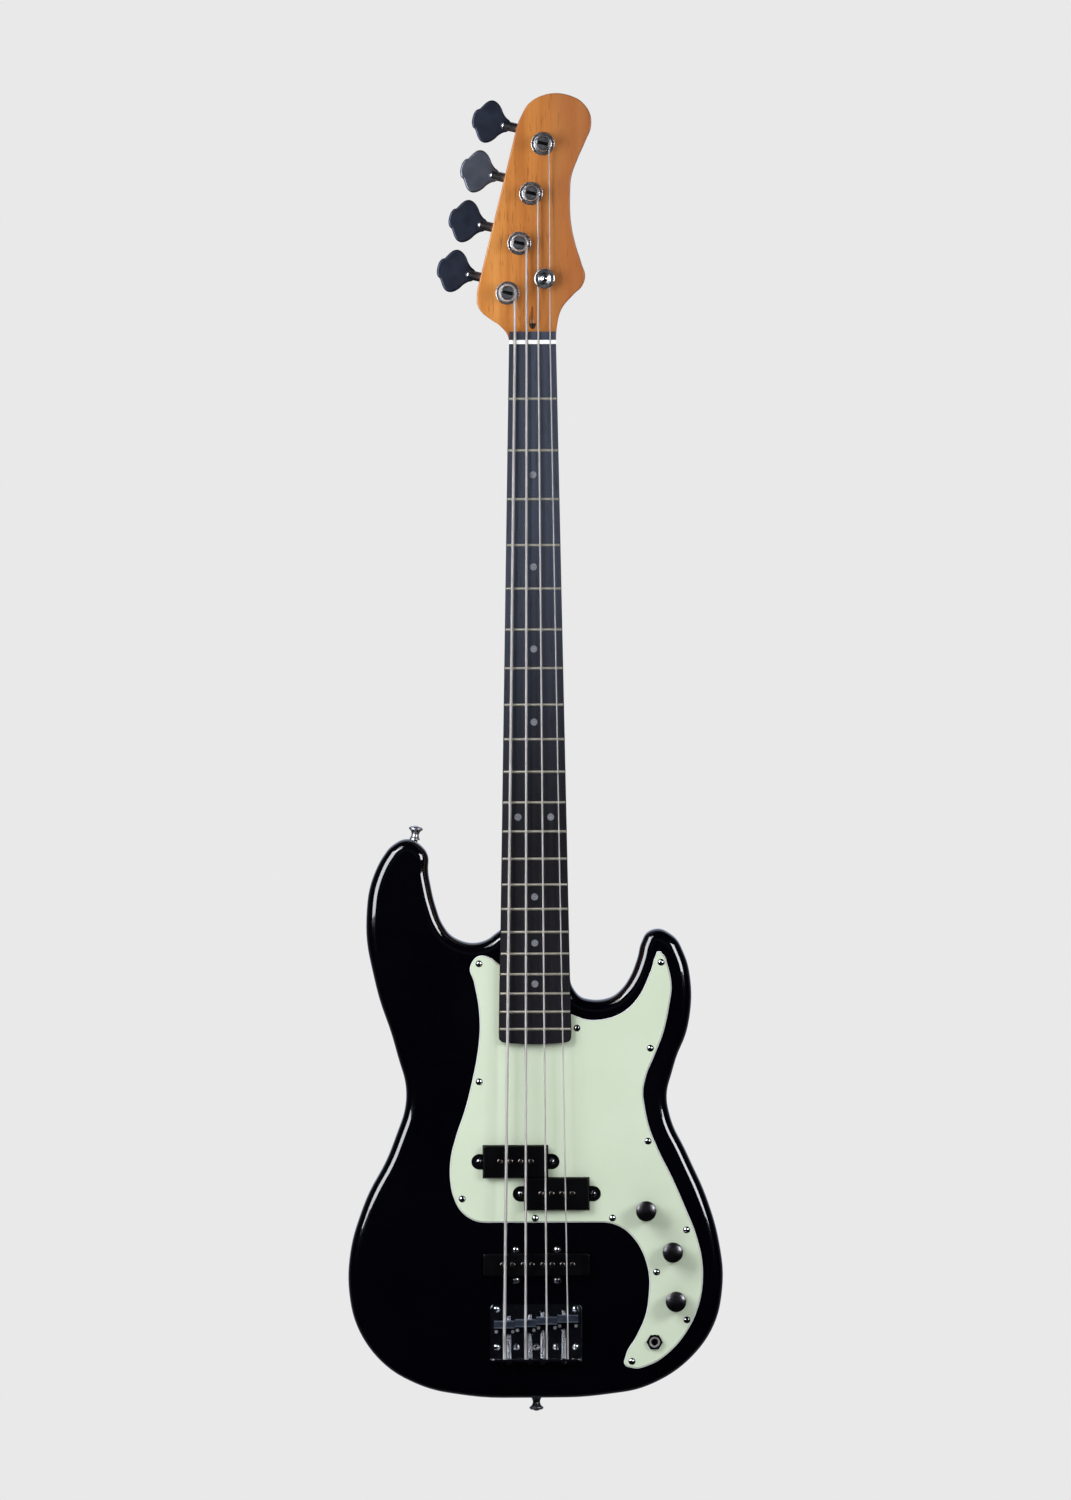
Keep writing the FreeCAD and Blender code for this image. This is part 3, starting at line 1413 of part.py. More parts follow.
def make_knobs():
    base = mm.guard_thickness + mm.knob_lift
    top = base + mm.knob_height
    shoulder = top - mm.knob_dome
    radius = mm.knob_diameter / 2
    shaft = mm.shaft_diameter / 2
    recess = mm.knob_recess_diameter / 2
    roof = base + mm.knob_recess_depth
    edge = mm.knob_edge_radius
    soft = quarter_round(edge)
    across, drop = dome_middle(radius - edge, mm.knob_dome)
    master = turned("knob", "XY_Plane", (
        (0, -top),
        ((across, drop - top), (radius - edge, -shoulder)),
        ((radius - soft, soft - shoulder), (radius, edge - shoulder)),
        (radius, -base),
        (recess, -base),
        (recess, -roof),
        (shaft, -roof),
        (shaft, -mm.seat_clearance),
        (0, -mm.seat_clearance),
    ))
    return [copies("control_knob_%d" % number, master, on_front([place], 0))
            for number, place in enumerate(control_places(), start=1)]


def lug_places():
    return [step * mm.pot_lug_spacing for step in (-1, 0, 1)]


def make_pots():
    bore = mm.shaft_diameter / 2 + mm.running_clearance
    bush = mm.pot_bush_diameter / 2
    case = mm.pot_diameter / 2
    shell = turned("pot_shell", "XY_Plane", (
        (bore, -mm.pot_bush_height),
        (bush, -mm.pot_bush_height),
        (bush, 0),
        (case, 0),
        (case, mm.pot_depth),
        (0, mm.pot_depth),
        (0, 0),
        (bore, 0),
    ))
    lugs = [box("pot_lug_%d" % number, "sizes.pot_lug_width", "sizes.pot_lug_length",
                "sizes.pot_lug_thickness",
                at(x - mm.pot_lug_width / 2, -mm.pot_depth, -mm.pot_lug_thickness / 2))
            for number, x in enumerate(lug_places())]
    master = fuse("pot", [shell] + lugs)
    return copies("potentiometers", master, on_front(control_places(), 0))


def hex_nut(name, flats, bore):
    """Washer and hexagon nut, standing on the guard with the origin at the guard's face."""
    washer = cylinder(name + "_washer", flats + " + 2 * sizes.hole_clearance", "sizes.pot_washer_thickness",
                      Vector(), FRONT)
    nut = doc.addObject("Part::Prism", name + "_hexagon")
    nut.Polygon = 6
    nut.setExpression("Circumradius", "%s / sqrt(3)" % flats)
    nut.setExpression("Height", "sizes.pot_nut_height")
    nut.Placement = Placement(FRONT * mm.pot_washer_thickness, Rotation(UP, FRONT))
    hole = cylinder(name + "_bore", bore + " + 2 * sizes.hole_clearance",
                    "sizes.pot_washer_thickness + sizes.pot_nut_height", Vector(), FRONT)
    return cut(name, fuse(name + "_pair", [washer, nut]), [hole])


def make_nuts():
    pot_nut = hex_nut("pot_nut", "sizes.pot_nut_flats", "sizes.pot_bush_diameter")
    jack_nut = hex_nut("jack_nut", "sizes.jack_nut_flats", "sizes.jack_bush_diameter")
    places = on_front(control_places() + [(mm.jack_x, -mm.jack_z)], mm.guard_thickness)
    masters = [pot_nut] * len(control_places()) + [jack_nut]
    return group("control_nuts", [copy_of(master, place) for master, place in zip(masters, places)])


def make_jack():
    bore = mm.jack_bore_diameter / 2
    bush = mm.jack_bush_diameter / 2
    frame = mm.jack_frame_diameter / 2
    shell = turned("jack_shell", "XY_Plane", (
        (bore, -mm.jack_bush_height),
        (bush, -mm.jack_bush_height),
        (bush, 0),
        (frame, 0),
        (frame, mm.jack_frame_thickness),
        (bush, mm.jack_frame_thickness),
        (bush, mm.jack_bush_depth),
        (bore, mm.jack_bush_depth),
    ))
    corner = Vector(frame - mm.jack_leaf_thickness * 2, mm.jack_frame_thickness / 2, -mm.jack_leaf_width / 2)
    leaf = box("jack_leaf", "sizes.jack_leaf_thickness", "sizes.jack_leaf_length",
               "sizes.jack_leaf_width", corner)
    return copies("output_jack", fuse("jack", [shell, leaf]), on_front([(mm.jack_x, -mm.jack_z)], 0))


def bent_run(points, radius):
    """Straight runs joined by tangent arcs of one radius."""
    geometry = []
    here = points[0]
    for before, corner, after in zip(points, points[1:], points[2:]):
        way_in = (corner - before).normalize()
        way_out = (after - corner).normalize()
        reach = radius * math.tan(way_in.getAngle(way_out) / 2)
        start = corner - way_in * reach
        finish = corner + way_out * reach
        geometry.append(Part.LineSegment(here, start))
        geometry.append(Part.Arc(start, tangent_arc_middle(start, way_in, finish), finish))
        here = finish
    geometry.append(Part.LineSegment(here, points[-1]))
    return geometry


def tube(geometry, diameter):
    """One round tube along tangent lines and arcs, checked against section times length."""
    edges = [piece.toShape() for piece in geometry]
    spine = Part.Wire(edges)
    first = edges[0]
    start = first.FirstParameter
    ring = Part.makeCircle(diameter / 2, first.valueAt(start), first.tangentAt(start))
    solid = spine.makePipeShell([Part.Wire([ring])], True, False)
    expected = math.pi * diameter ** 2 / 4 * spine.Length
    if abs(solid.Volume / expected - 1) > VOLUME_TOLERANCE:
        raise RuntimeError("a tube's volume differs from its section times its length")
    return solid


def make_wiring():
    """Leads from one control to the next, to the jack's leaf, and the tone capacitor."""
    controls = control_places()
    lug_end = mm.pot_depth + mm.pot_lug_length
    run = mm.cavity_depth - mm.wire_bend_radius
    leaf_end = mm.jack_frame_thickness / 2 + mm.jack_leaf_length
    leaf_x = mm.jack_x + mm.jack_frame_diameter / 2 - mm.jack_leaf_thickness * 1.5
    out_lug = mm.pot_lug_spacing
    starts = [(x + out_lug, lug_end, z) for x, z in controls]
    ends = [(x - out_lug, lug_end, z) for x, z in controls[1:]] + [(leaf_x, leaf_end, -mm.jack_z)]
    leads = []
    for (x, y, z), (end_x, end_y, end_z) in zip(starts, ends):
        points = [Vector(x, y, z), Vector(x, run, z), Vector(end_x, run, end_z), Vector(end_x, end_y, end_z)]
        leads.append(tube(bent_run(points, mm.wire_bend_radius), mm.wire_diameter))
    tone_x, tone_z = controls[-1]
    disc_middle = Vector(tone_x, lug_end + mm.capacitor_diameter, tone_z)
    disc_start = disc_middle - UP * (mm.capacitor_thickness / 2)
    disc = Part.makeCylinder(mm.capacitor_diameter / 2, mm.capacitor_thickness, disc_start, UP)
    legs = [Part.makeCylinder(mm.wire_diameter / 4, mm.capacitor_diameter, Vector(x, lug_end, tone_z), BACK)
            for x in [tone_x + share * out_lug for share in CAPACITOR_LEG_SHARES]]
    return fixed_shape("wiring", Part.makeCompound(leads + [disc.multiFuse(legs)]))


# Bridge


def make_bridge_plate():
    blank = new_body("bridge_blank")
    half = mm.bridge_width / 2
    back = bridge_back()
    plan = rounded_rectangle(-half, half, back, bridge_front(), mm.bridge_corner_radius)
    pad(blank, sketch(blank, "XZ_Plane", plan), "sizes.bridge_thickness")
    radius = mm.bridge_corner_radius
    inset = radius * (1 - math.sqrt(0.5))
    top = -mm.bridge_wall_height
    wall = outline((
        (-half, 0),
        (-half, top + radius),
        ((-half + inset, top + inset), (-half + radius, top)),
        (half - radius, top),
        ((half - inset, top + inset), (half, top + radius)),
        (half, 0),
    ))
    pad(blank, sketch(blank, "XY_Plane", wall, back), "sizes.bridge_thickness")
    drill(blank, bridge_screw_places(), mm.small_screw_diameter + 2 * mm.hole_clearance,
          "sizes.bridge_thickness + sizes.cut_overrun", mm.bridge_thickness)
    holes = []
    deep = "sizes.bridge_thickness + 2 * sizes.cut_overrun"
    start = back - mm.cut_overrun
    middle = back + mm.bridge_thickness / 2
    for line in STRINGS:
        ball, corner = line.ball_end(), line.break_point()
        share = (middle - ball.z) / (corner.z - ball.z)
        height = -(ball.y + (corner.y - ball.y) * share)
        string_bore = "sizes.gauge_%s + sizes.string_hole_slack" % line.name
        screw_bore = "sizes.length_screw_diameter + 2 * sizes.hole_clearance"
        holes.append(cylinder("string_hole_" + line.name, string_bore, deep,
                              at(line.bridge_x, height, start), UP))
        holes.append(cylinder("length_hole_" + line.name, screw_bore, deep,
                              at(line.screw_x, mm.length_screw_height, start), UP))
    return cut("bridge_plate", blank, holes)


def make_saddle(line):
    """Saddle with a sloped front, a crest grooved for the string and a shelf with two height screws."""
    crest = line.saddle_height - line.gauge / 2 + mm.saddle_groove_depth
    shelf = crest - mm.saddle_shelf_drop
    foot = mm.bridge_thickness + mm.saddle_lift
    front = line.saddle_z + mm.saddle_front
    rear = line.saddle_z - mm.saddle_rear
    lip = line.saddle_z - mm.saddle_crest
    blank = new_body("saddle_blank_" + line.name)
    side = outline((
        (-foot, front),
        (-crest + mm.saddle_front_drop, front),
        (-crest, line.saddle_z),
        (-crest, lip),
        (-shelf, lip),
        (-shelf, rear),
        (-foot, rear),
    ))
    pad(blank, sketch(blank, "YZ_Plane", side, line.bridge_x), "sizes.saddle_width", middle=True)
    deep = "sizes.saddle_front + sizes.saddle_rear + 2 * sizes.cut_overrun"
    start = rear - mm.cut_overrun
    tools = [
        cylinder("saddle_groove_" + line.name, "sizes.gauge_%s + 2 * sizes.string_clearance" % line.name,
                 deep, at(line.bridge_x, line.saddle_height, start), UP),
        cylinder("saddle_bore_" + line.name, "sizes.length_screw_diameter + 2 * sizes.seat_clearance",
                 deep, at(line.screw_x, mm.length_screw_height, start), UP),
    ]
    screws = []
    screw_z = (lip + rear) / 2
    tall = "%s - sizes.bridge_thickness - sizes.screw_foot_gap" % (shelf + mm.height_screw_rise)
    for number, step in enumerate((-1, 1)):
        x = line.bridge_x + step * mm.height_screw_spacing / 2
        place = at(x, mm.bridge_thickness + mm.screw_foot_gap, screw_z)
        name = "height_screw_%s_%d" % (line.name, number)
        screws.append(cylinder(name, "sizes.height_screw_diameter", tall, place, FRONT))
        tools.append(cylinder(name + "_bore", "sizes.height_screw_diameter + 2 * sizes.hole_clearance", tall,
                              place, FRONT))
    block = cut("saddle_block_" + line.name, blank, tools)
    return group("saddle_" + line.name, [block] + screws)


def make_length_screws():
    screws = []
    for line in STRINGS:
        start = at(line.screw_x, mm.length_screw_height, bridge_back())
        to_saddle = "sizes.bridge_rear - sizes.compensation_%s" % line.name
        shank = cylinder("length_shank_" + line.name, "sizes.length_screw_diameter",
                         to_saddle + " + sizes.saddle_front + sizes.length_screw_reach", start, UP)
        head = cylinder("length_head_" + line.name, "sizes.length_screw_head_diameter",
                        "sizes.length_screw_head_height", start, DOWN)
        screws.append(fuse("length_screw_" + line.name, [shank, head]))
    return group("intonation_screws", screws)


def coil(centre, side, across, axis, radius, pitch, start, turns):
    """Quarter turns about an axis, each a pair of tangent arcs, and the way along at both ends."""
    def spot(step):
        angle = start + step * math.pi / 2
        out = side * math.cos(angle) + across * math.sin(angle)
        around = across * math.cos(angle) - side * math.sin(angle)
        place = centre + out * radius + axis * (pitch * step / 4)
        return place, (around * (radius * 2 * math.pi) + axis * pitch).normalize()

    spots = [spot(step) for step in range(round(turns * 4) + 1)]
    geometry = []
    for first, second in zip(spots, spots[1:]):
        geometry += biarc(*first, *second)
    return geometry, spots


def straight_end(spot, length):
    place, way = spot
    return Part.LineSegment(place, place + way * length)


def straight_start(spot, length):
    place, way = spot
    return Part.LineSegment(place - way * length, place)


def least_gap(geometry, diameter):
    """Smallest gap between a wound tube and its own next turn."""
    places = []
    for piece in geometry:
        places += piece.toShape().discretize(Number=GAP_SAMPLES)[1:]
    apart = 2 * GAP_SAMPLES * 2
    gaps = [(places[low] - place).Length
            for high, place in enumerate(places) for low in range(max(high - apart, 0))]
    return min(gaps) - diameter


def make_springs():
    """Coil springs about the length screws, between the saddles and the upturned wall."""
    springs = []
    wire = mm.spring_wire
    radius = (mm.spring_diameter - wire) / 2
    for line in STRINGS:
        low = bridge_back() + mm.bridge_thickness + mm.seat_clearance + wire
        high = line.saddle_z - mm.saddle_rear - mm.seat_clearance - wire
        centre = at(line.screw_x, mm.length_screw_height, low)
        pitch = (high - low) / SPRING_TURNS
        turns, spots = coil(centre, RIGHT, FRONT, UP, radius, pitch, 0, SPRING_TURNS)
        print("spring", line.name, "least gap", least_gap(turns, wire))
        route = [straight_start(spots[0], wire)] + turns + [straight_end(spots[-1], wire)]
        springs.append(tube(route, wire))
    return fixed_shape("intonation_springs", Part.makeCompound(springs))


# Strings, retainer and tuners


def make_string(index):
    """One string from its ball behind the bridge, over saddle and nut, to its turns on the post."""
    line = STRINGS[index]
    post = tuner_placement(index).Base
    radius = (mm.post_waist_diameter + line.gauge) / 2 + mm.string_clearance
    past_nut = line.past_nut()
    to_post = Vector(post.x - past_nut.x, 0, post.z - past_nut.z)
    heading = math.atan2(to_post.z, to_post.x) - math.asin(radius / to_post.Length)
    start = heading - math.pi / 2
    pitch = line.gauge + mm.string_wrap_gap
    height = mm.post_collar_height + mm.seat_clearance + line.gauge / 2
    middle = at(post.x, height, post.z)
    turns, spots = coil(middle, RIGHT, UP, FRONT, radius, pitch, start, WRAP_TURNS)
    touch, way = spots[0]
    approach = touch - way * mm.string_lead
    points = [line.ball_end(), line.break_point(), past_nut, approach, touch]
    if line.name in RETAINED_STRINGS:
        under = face_height() + mm.retainer_hub_height - line.gauge / 2 - mm.string_clearance
        reach = mm.retainer_diameter / 2
        for place, z in enumerate((mm.retainer_z - reach, mm.retainer_z + reach), start=3):
            share = (z - past_nut.z) / (approach.z - past_nut.z)
            points.insert(place, at(past_nut.x + (approach.x - past_nut.x) * share, under, z))
    print("string", line.name, "least gap", least_gap(turns, line.gauge))
    route = bent_run(points, mm.string_bend_radius) + turns + [straight_end(spots[-1], line.gauge)]
    ball = Part.makeSphere(mm.ball_diameter / 2, line.ball_end())
    return fixed_shape("string_" + line.name, tube(route, line.gauge).fuse(ball))


def make_retainer():
    face = face_height()
    rim = mm.retainer_diameter / 2
    edge = mm.retainer_edge_radius
    soft = quarter_round(edge)
    hub = mm.retainer_hub_diameter / 2
    bore = mm.small_screw_diameter / 2 + mm.hole_clearance
    dish = mm.retainer_dish_diameter / 2
    under = face + mm.retainer_hub_height
    top = face + mm.retainer_height
    floor = top - mm.retainer_dish_depth
    seat = mm.small_screw_head_diameter / 2 + mm.hole_clearance
    master = turned("retainer", "XY_Plane", (
        (bore, -face),
        (hub, -face),
        (hub, -under),
        (rim - edge, -under),
        ((rim - soft, -under - soft), (rim, -under - edge)),
        (rim, -top + edge),
        ((rim - soft, -top + soft), (rim - edge, -top)),
        (dish, -top),
        (seat, -floor),
        (bore, -floor),
    ))
    return copies("string_retainer", master, on_front([(mm.retainer_x, mm.retainer_z)], 0))


def gear_height():
    """Height of the worm's axis, behind the headstock."""
    return headstock_back() - mm.tuner_plate_thickness - mm.gear_lift - mm.gear_face / 2


def wheel_radius():
    return mm.gear_module * GEAR_TEETH / 2


def worm_distance():
    return wheel_radius() + mm.worm_pitch_diameter / 2


def tooth_widths():
    """Width of a tooth or thread at its root and at its tip."""
    middle = math.pi * mm.gear_module / 2 - mm.gear_backlash
    slope = math.tan(math.radians(FLANK_DEGREES))
    root = middle + 2 * slope * (mm.gear_addendum + mm.gear_mesh_gap)
    tip = middle - 2 * slope * mm.gear_addendum
    return root, tip


def wheel_ring(y, shift):
    """The toothed outline of a post's wheel, turned on by a sideways shift at its pitch circle."""
    pitch_radius = wheel_radius()
    root = pitch_radius - mm.gear_addendum - mm.gear_mesh_gap
    tip = pitch_radius + mm.gear_addendum
    root_width, tip_width = tooth_widths()
    points = []
    for tooth in range(GEAR_TEETH):
        middle = (tooth + 0.5) * 2 * math.pi / GEAR_TEETH + shift / pitch_radius
        for radius, width, side in ((root, root_width, -1), (tip, tip_width, -1),
                                    (tip, tip_width, 1), (root, root_width, 1)):
            angle = middle + side * width / (2 * radius)
            points.append(Vector(radius * math.sin(angle), y, radius * math.cos(angle)))
    return Part.makePolygon(points + points[:1])


def make_post_master():
    back = -headstock_back()
    wheel_start = back + mm.tuner_plate_thickness + mm.gear_lift
    wheel_end = wheel_start + mm.gear_face
    top = mm.post_top_height
    flange = mm.post_flange_diameter / 2
    waist = mm.post_waist_diameter / 2
    shaft = mm.post_diameter / 2
    rim = mm.post_flange_height
    screw_head = mm.gear_screw_diameter / 2
    across, drop = dome_middle(screw_head, mm.gear_screw_height)
    stem = turned("post_stem", "XY_Plane", (
        (0, -top),
        (waist, -top),
        (flange, -top + rim / 2),
        (flange, -top + rim),
        (waist, -top + rim + flange - waist),
        (waist, -mm.post_collar_height),
        (shaft, -mm.post_collar_height),
        (shaft, wheel_end),
        (screw_head, wheel_end),
        ((across, wheel_end + mm.gear_screw_height - drop), (0, wheel_end + mm.gear_screw_height)),
    ))
    lead = mm.gear_module / mm.worm_pitch_diameter
    reach = lead * mm.gear_face / 2
    rings = [wheel_ring(wheel_start, -reach), wheel_ring(wheel_end, reach)]
    wheel = fixed_shape("post_wheel", Part.makeLoft(rings, True, True))
    slot_cut = box("post_slot", "sizes.post_flange_diameter", "sizes.post_slot_depth",
                   "sizes.post_slot_width", Vector(-flange, -top, -mm.post_slot_width / 2))
    return cut("post", fuse("post_whole", [stem, wheel]), [slot_cut])


def make_posts():
    master = make_post_master()
    nodes = []
    for index, line in enumerate(STRINGS):
        frame = tuner_placement(index)
        floor = mm.post_top_height - mm.post_slot_depth
        start = frame.multVec(at(0, floor + line.gauge / 2, 0))
        tail = cylinder("string_tail_" + line.name, "sizes.gauge_" + line.name,
                        "(sizes.post_waist_diameter - sizes.gauge_%s) / 2" % line.name,
                        start, frame.Rotation.multVec(RIGHT))
        nodes.append(group("tuner_post_%d" % (index + 1), [copy_of(master, frame), tail]))
    return nodes


def make_ferrules():
    face = face_height()
    rim = mm.ferrule_diameter / 2
    barrel = mm.ferrule_barrel_diameter / 2
    bore = mm.post_diameter / 2 + mm.running_clearance
    collar = mm.ferrule_collar_diameter / 2
    top = face + mm.ferrule_height
    step = face + mm.ferrule_flange_height
    edge = mm.ferrule_edge_radius
    soft = quarter_round(edge)
    master = turned("ferrule", "XY_Plane", (
        (bore, -top),
        (collar - edge, -top),
        ((collar - soft, soft - top), (collar, edge - top)),
        (collar, -step),
        (rim - edge, -step),
        ((rim - soft, soft - step), (rim, edge - step)),
        (rim, -face),
        (barrel, -face),
        (barrel, -face + mm.ferrule_barrel_length),
        (bore, -face + mm.ferrule_barrel_length),
    ))
    return copies("tuner_ferrules", master, [tuner_placement(index) for index in range(len(STRING_NAMES))])


def make_tuner_plates():
    blank = new_body("tuner_plate")
    half = mm.tuner_plate_width / 2
    long_half = mm.tuner_plate_length / 2
    shift = mm.tuner_plate_shift
    back = headstock_back()
    plan = rounded_rectangle(-half, half, shift - long_half, shift + long_half, mm.tuner_plate_corner)
    plan += circles([(0, 0)], mm.post_diameter + 2 * mm.running_clearance)
    plan += circles(tuner_screw_places(), mm.tuner_screw_diameter + 2 * mm.hole_clearance)
    pad(blank, sketch(blank, "XZ_Plane", plan, back), "sizes.tuner_plate_thickness", True)
    axis = (-gear_height(), worm_distance())
    ear = mm.tuner_ear_width / 2
    base = -back + mm.tuner_plate_thickness
    profile = outline((
        (base, axis[1] - ear),
        (axis[0], axis[1] - ear),
        ((axis[0] + ear, axis[1]), (axis[0], axis[1] + ear)),
        (base, axis[1] + ear),
    )) + circles([axis], mm.key_shaft_diameter + 2 * mm.running_clearance)
    for x in (-mm.tuner_ear_gap / 2 - mm.tuner_ear_thickness, mm.tuner_ear_gap / 2):
        pad(blank, sketch(blank, "YZ_Plane", profile, x), "sizes.tuner_ear_thickness")
    return copies("tuner_plates", blank, [tuner_placement(index) for index in range(len(STRING_NAMES))])


def make_worm():
    """Worm thread wound about X, with a crest in the middle of its length."""
    pitch = math.pi * mm.gear_module
    pitch_radius = mm.worm_pitch_diameter / 2
    root = pitch_radius - mm.gear_addendum - mm.gear_mesh_gap
    tip = pitch_radius + mm.gear_addendum
    core = root - mm.gear_mesh_gap
    root_width, tip_width = tooth_widths()
    low = -WORM_TURNS / 2 * pitch
    spine = Part.makeHelix(pitch, WORM_TURNS * pitch, pitch_radius)
    corners = ((core, -root_width / 2), (root, -root_width / 2), (tip, -tip_width / 2),
               (tip, tip_width / 2), (root, root_width / 2), (core, root_width / 2))
    points = [Vector(radius, 0, z) for radius, z in corners]
    section = Part.makePolygon(points + points[:1])
    thread = Part.Wire(spine.Edges).makePipeShell([section], True, True)
    thread.translate(UP * low)
    rod = Part.makeCylinder(root, mm.worm_length, UP * (-mm.worm_length / 2), UP)
    return fixed_shape("key_worm", rod.fuse(thread), Placement(Vector(), Rotation(UP, RIGHT)))


def make_keys():
    shaft = mm.key_shaft_diameter / 2
    inner = mm.worm_length / 2
    neck = mm.key_stem_neck / 2
    barrel = mm.key_stem_diameter / 2
    nose = mm.key_stem_end - mm.key_nose
    across, drop = dome_middle(barrel, mm.key_nose)
    rod = turned("key_rod", "XZ_Plane", (
        (-inner, 0),
        (-inner, shaft),
        (-mm.key_stem_start, shaft),
        (-mm.key_stem_start, neck),
        (-nose, barrel),
        ((drop - mm.key_stem_end, across), (-mm.key_stem_end, 0)),
    ), "H_Axis")
    tail_length = ("sizes.tuner_ear_gap / 2 + sizes.tuner_ear_thickness + sizes.seat_clearance"
                   " - sizes.worm_length / 2")
    tail = cylinder("key_tail", "sizes.key_shaft_diameter", tail_length, RIGHT * inner, RIGHT)
    half = [(-mm.key_start - along * mm.key_width, across * mm.key_height)
            for along, across in KEY_LOBE_SHARES]
    other = [(x, -z) for x, z in reversed(half[:-1])]
    wing = new_body("key_wing")
    lobes = sketch(wing, "XZ_Plane", closed_curve(flat(*half, *other)))
    blade = pad(wing, lobes, "sizes.key_thickness", middle=True)
    doc.recompute()
    rims = edges_where(blade, lambda edge: edge.BoundBox.YLength < mm.key_edge_radius)
    round_edges(wing, blade, rims, "sizes.key_edge_radius")
    master = fuse("key", [make_worm(), rod, tail, wing])
    offset = Placement(at(0, gear_height(), worm_distance()), Rotation())
    return [copies("tuner_key_%d" % (index + 1), master, [tuner_placement(index).multiply(offset)])
            for index in range(len(STRING_NAMES))]


# Back plate and strap buttons


def make_neck_plate():
    blank = new_body("neck_plate_blank")
    half = mm.neck_plate_width / 2
    low = -mm.neck_plate_z - mm.neck_plate_length / 2
    high = -mm.neck_plate_z + mm.neck_plate_length / 2
    plan = rounded_rectangle(-half, half, low, high, mm.neck_plate_corner)
    pad(blank, sketch(blank, "XZ_Plane", plan, -mm.body_thickness), "sizes.neck_plate_thickness", True)
    back = -mm.body_thickness - mm.neck_plate_thickness
    wide = "sizes.neck_screw_head_diameter + 2 * sizes.hole_clearance"
    narrow = "sizes.neck_screw_diameter + 2 * sizes.hole_clearance"
    sinks = []
    for number, (x, z) in enumerate(neck_screw_places()):
        deep = "(sizes.neck_screw_head_diameter - sizes.neck_screw_diameter) / 2"
        sinks.append(cone("plate_sink_%d" % number, wide, narrow, deep, at(x, back, z), FRONT))
    return cut("neck_plate", blank, sinks)


def make_strap_buttons():
    bore = mm.strap_screw_diameter / 2 + mm.hole_clearance
    sink = mm.strap_screw_head_diameter / 2 + mm.hole_clearance
    base = mm.strap_button_base / 2
    waist = mm.strap_button_waist / 2
    rim = mm.strap_button_rim / 2
    top = mm.strap_button_height
    foot = mm.strap_button_foot
    lip = top - foot
    master = turned("strap_button", "XZ_Plane", (
        (bore, 0),
        (base, 0),
        (base, foot / 2),
        ((waist, top / 2 - foot / 4), (rim, lip)),
        (rim, top - foot / 2),
        (rim - foot / 2, top),
        (sink, top),
        (bore, top - sink + bore),
    ))
    places = [Placement(place, Rotation(UP, way)) for place, way in strap_seats()]
    return copies("strap_buttons", master, places)


# The whole instrument

board_blank = make_board_blank()
frets = make_frets()
dots = make_dots(board_blank)
nodes = [make_body(), make_neck(), make_truss_rod(), make_rod_nut(), frets, dots]
nodes += [cut("fingerboard", board_blank, [frets, dots]), make_nut()]
nodes += make_screws()
nodes += [make_guard(), make_foam()]
for kind in PICKUP_KINDS:
    nodes += make_pickup(kind)
nodes += make_knobs()
nodes += [make_pots(), make_nuts(), make_jack(), make_wiring()]
nodes += [make_bridge_plate(), make_length_screws(), make_springs()]
nodes += [make_saddle(line) for line in STRINGS]
nodes += [make_string(index) for index in range(len(STRINGS))]
nodes += [make_retainer(), make_ferrules(), make_tuner_plates()]
nodes += make_posts()
nodes += make_keys()
nodes += [make_neck_plate(), make_strap_buttons()]

doc.recompute()
failed = [item.Name for item in doc.Objects if "Invalid" in item.State or "Error" in item.State]
failed += [node.Name for node in nodes if node.Shape.isNull() or not node.Shape.isValid()]
if failed:
    raise RuntimeError("these did not build: " + ", ".join(failed))
os.makedirs("parts", exist_ok=True)
for node in nodes:
    node.Shape.exportStep("parts/%s.step" % node.Label)
print(len(nodes), "nodes")
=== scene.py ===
import json
import math

import bmesh
import bpy
import numpy as np
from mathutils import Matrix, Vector


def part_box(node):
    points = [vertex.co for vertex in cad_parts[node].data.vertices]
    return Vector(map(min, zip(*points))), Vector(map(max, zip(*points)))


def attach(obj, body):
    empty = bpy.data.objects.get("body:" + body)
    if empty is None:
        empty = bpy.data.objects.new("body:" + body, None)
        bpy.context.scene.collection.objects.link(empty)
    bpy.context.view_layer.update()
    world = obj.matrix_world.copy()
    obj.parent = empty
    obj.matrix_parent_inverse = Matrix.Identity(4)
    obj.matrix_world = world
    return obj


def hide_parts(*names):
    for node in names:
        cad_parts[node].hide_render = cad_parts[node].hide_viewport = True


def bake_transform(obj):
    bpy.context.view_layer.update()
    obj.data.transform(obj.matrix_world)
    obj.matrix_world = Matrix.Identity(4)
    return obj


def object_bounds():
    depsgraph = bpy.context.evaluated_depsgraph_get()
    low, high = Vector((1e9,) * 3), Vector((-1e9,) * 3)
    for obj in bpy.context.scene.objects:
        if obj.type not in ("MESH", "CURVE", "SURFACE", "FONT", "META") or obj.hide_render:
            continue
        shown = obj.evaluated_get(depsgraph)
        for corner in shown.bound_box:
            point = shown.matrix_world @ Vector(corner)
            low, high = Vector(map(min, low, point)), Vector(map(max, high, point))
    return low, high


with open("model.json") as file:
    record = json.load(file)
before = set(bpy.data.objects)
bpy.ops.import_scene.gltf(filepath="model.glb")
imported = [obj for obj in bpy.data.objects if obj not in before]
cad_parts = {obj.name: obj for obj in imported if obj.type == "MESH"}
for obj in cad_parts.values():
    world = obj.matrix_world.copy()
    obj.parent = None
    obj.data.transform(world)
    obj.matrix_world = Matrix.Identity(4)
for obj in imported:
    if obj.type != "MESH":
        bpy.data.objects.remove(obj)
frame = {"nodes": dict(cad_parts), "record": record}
CAD_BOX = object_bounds()
NODES = frame["nodes"]
SLOTS = {part["node"]: part["material_slot"] for part in frame["record"]["subparts"]}

MM = 0.001
UP = Vector((0, 0, 1))
FRONT = Vector((0, -1, 0))
SEED = 7

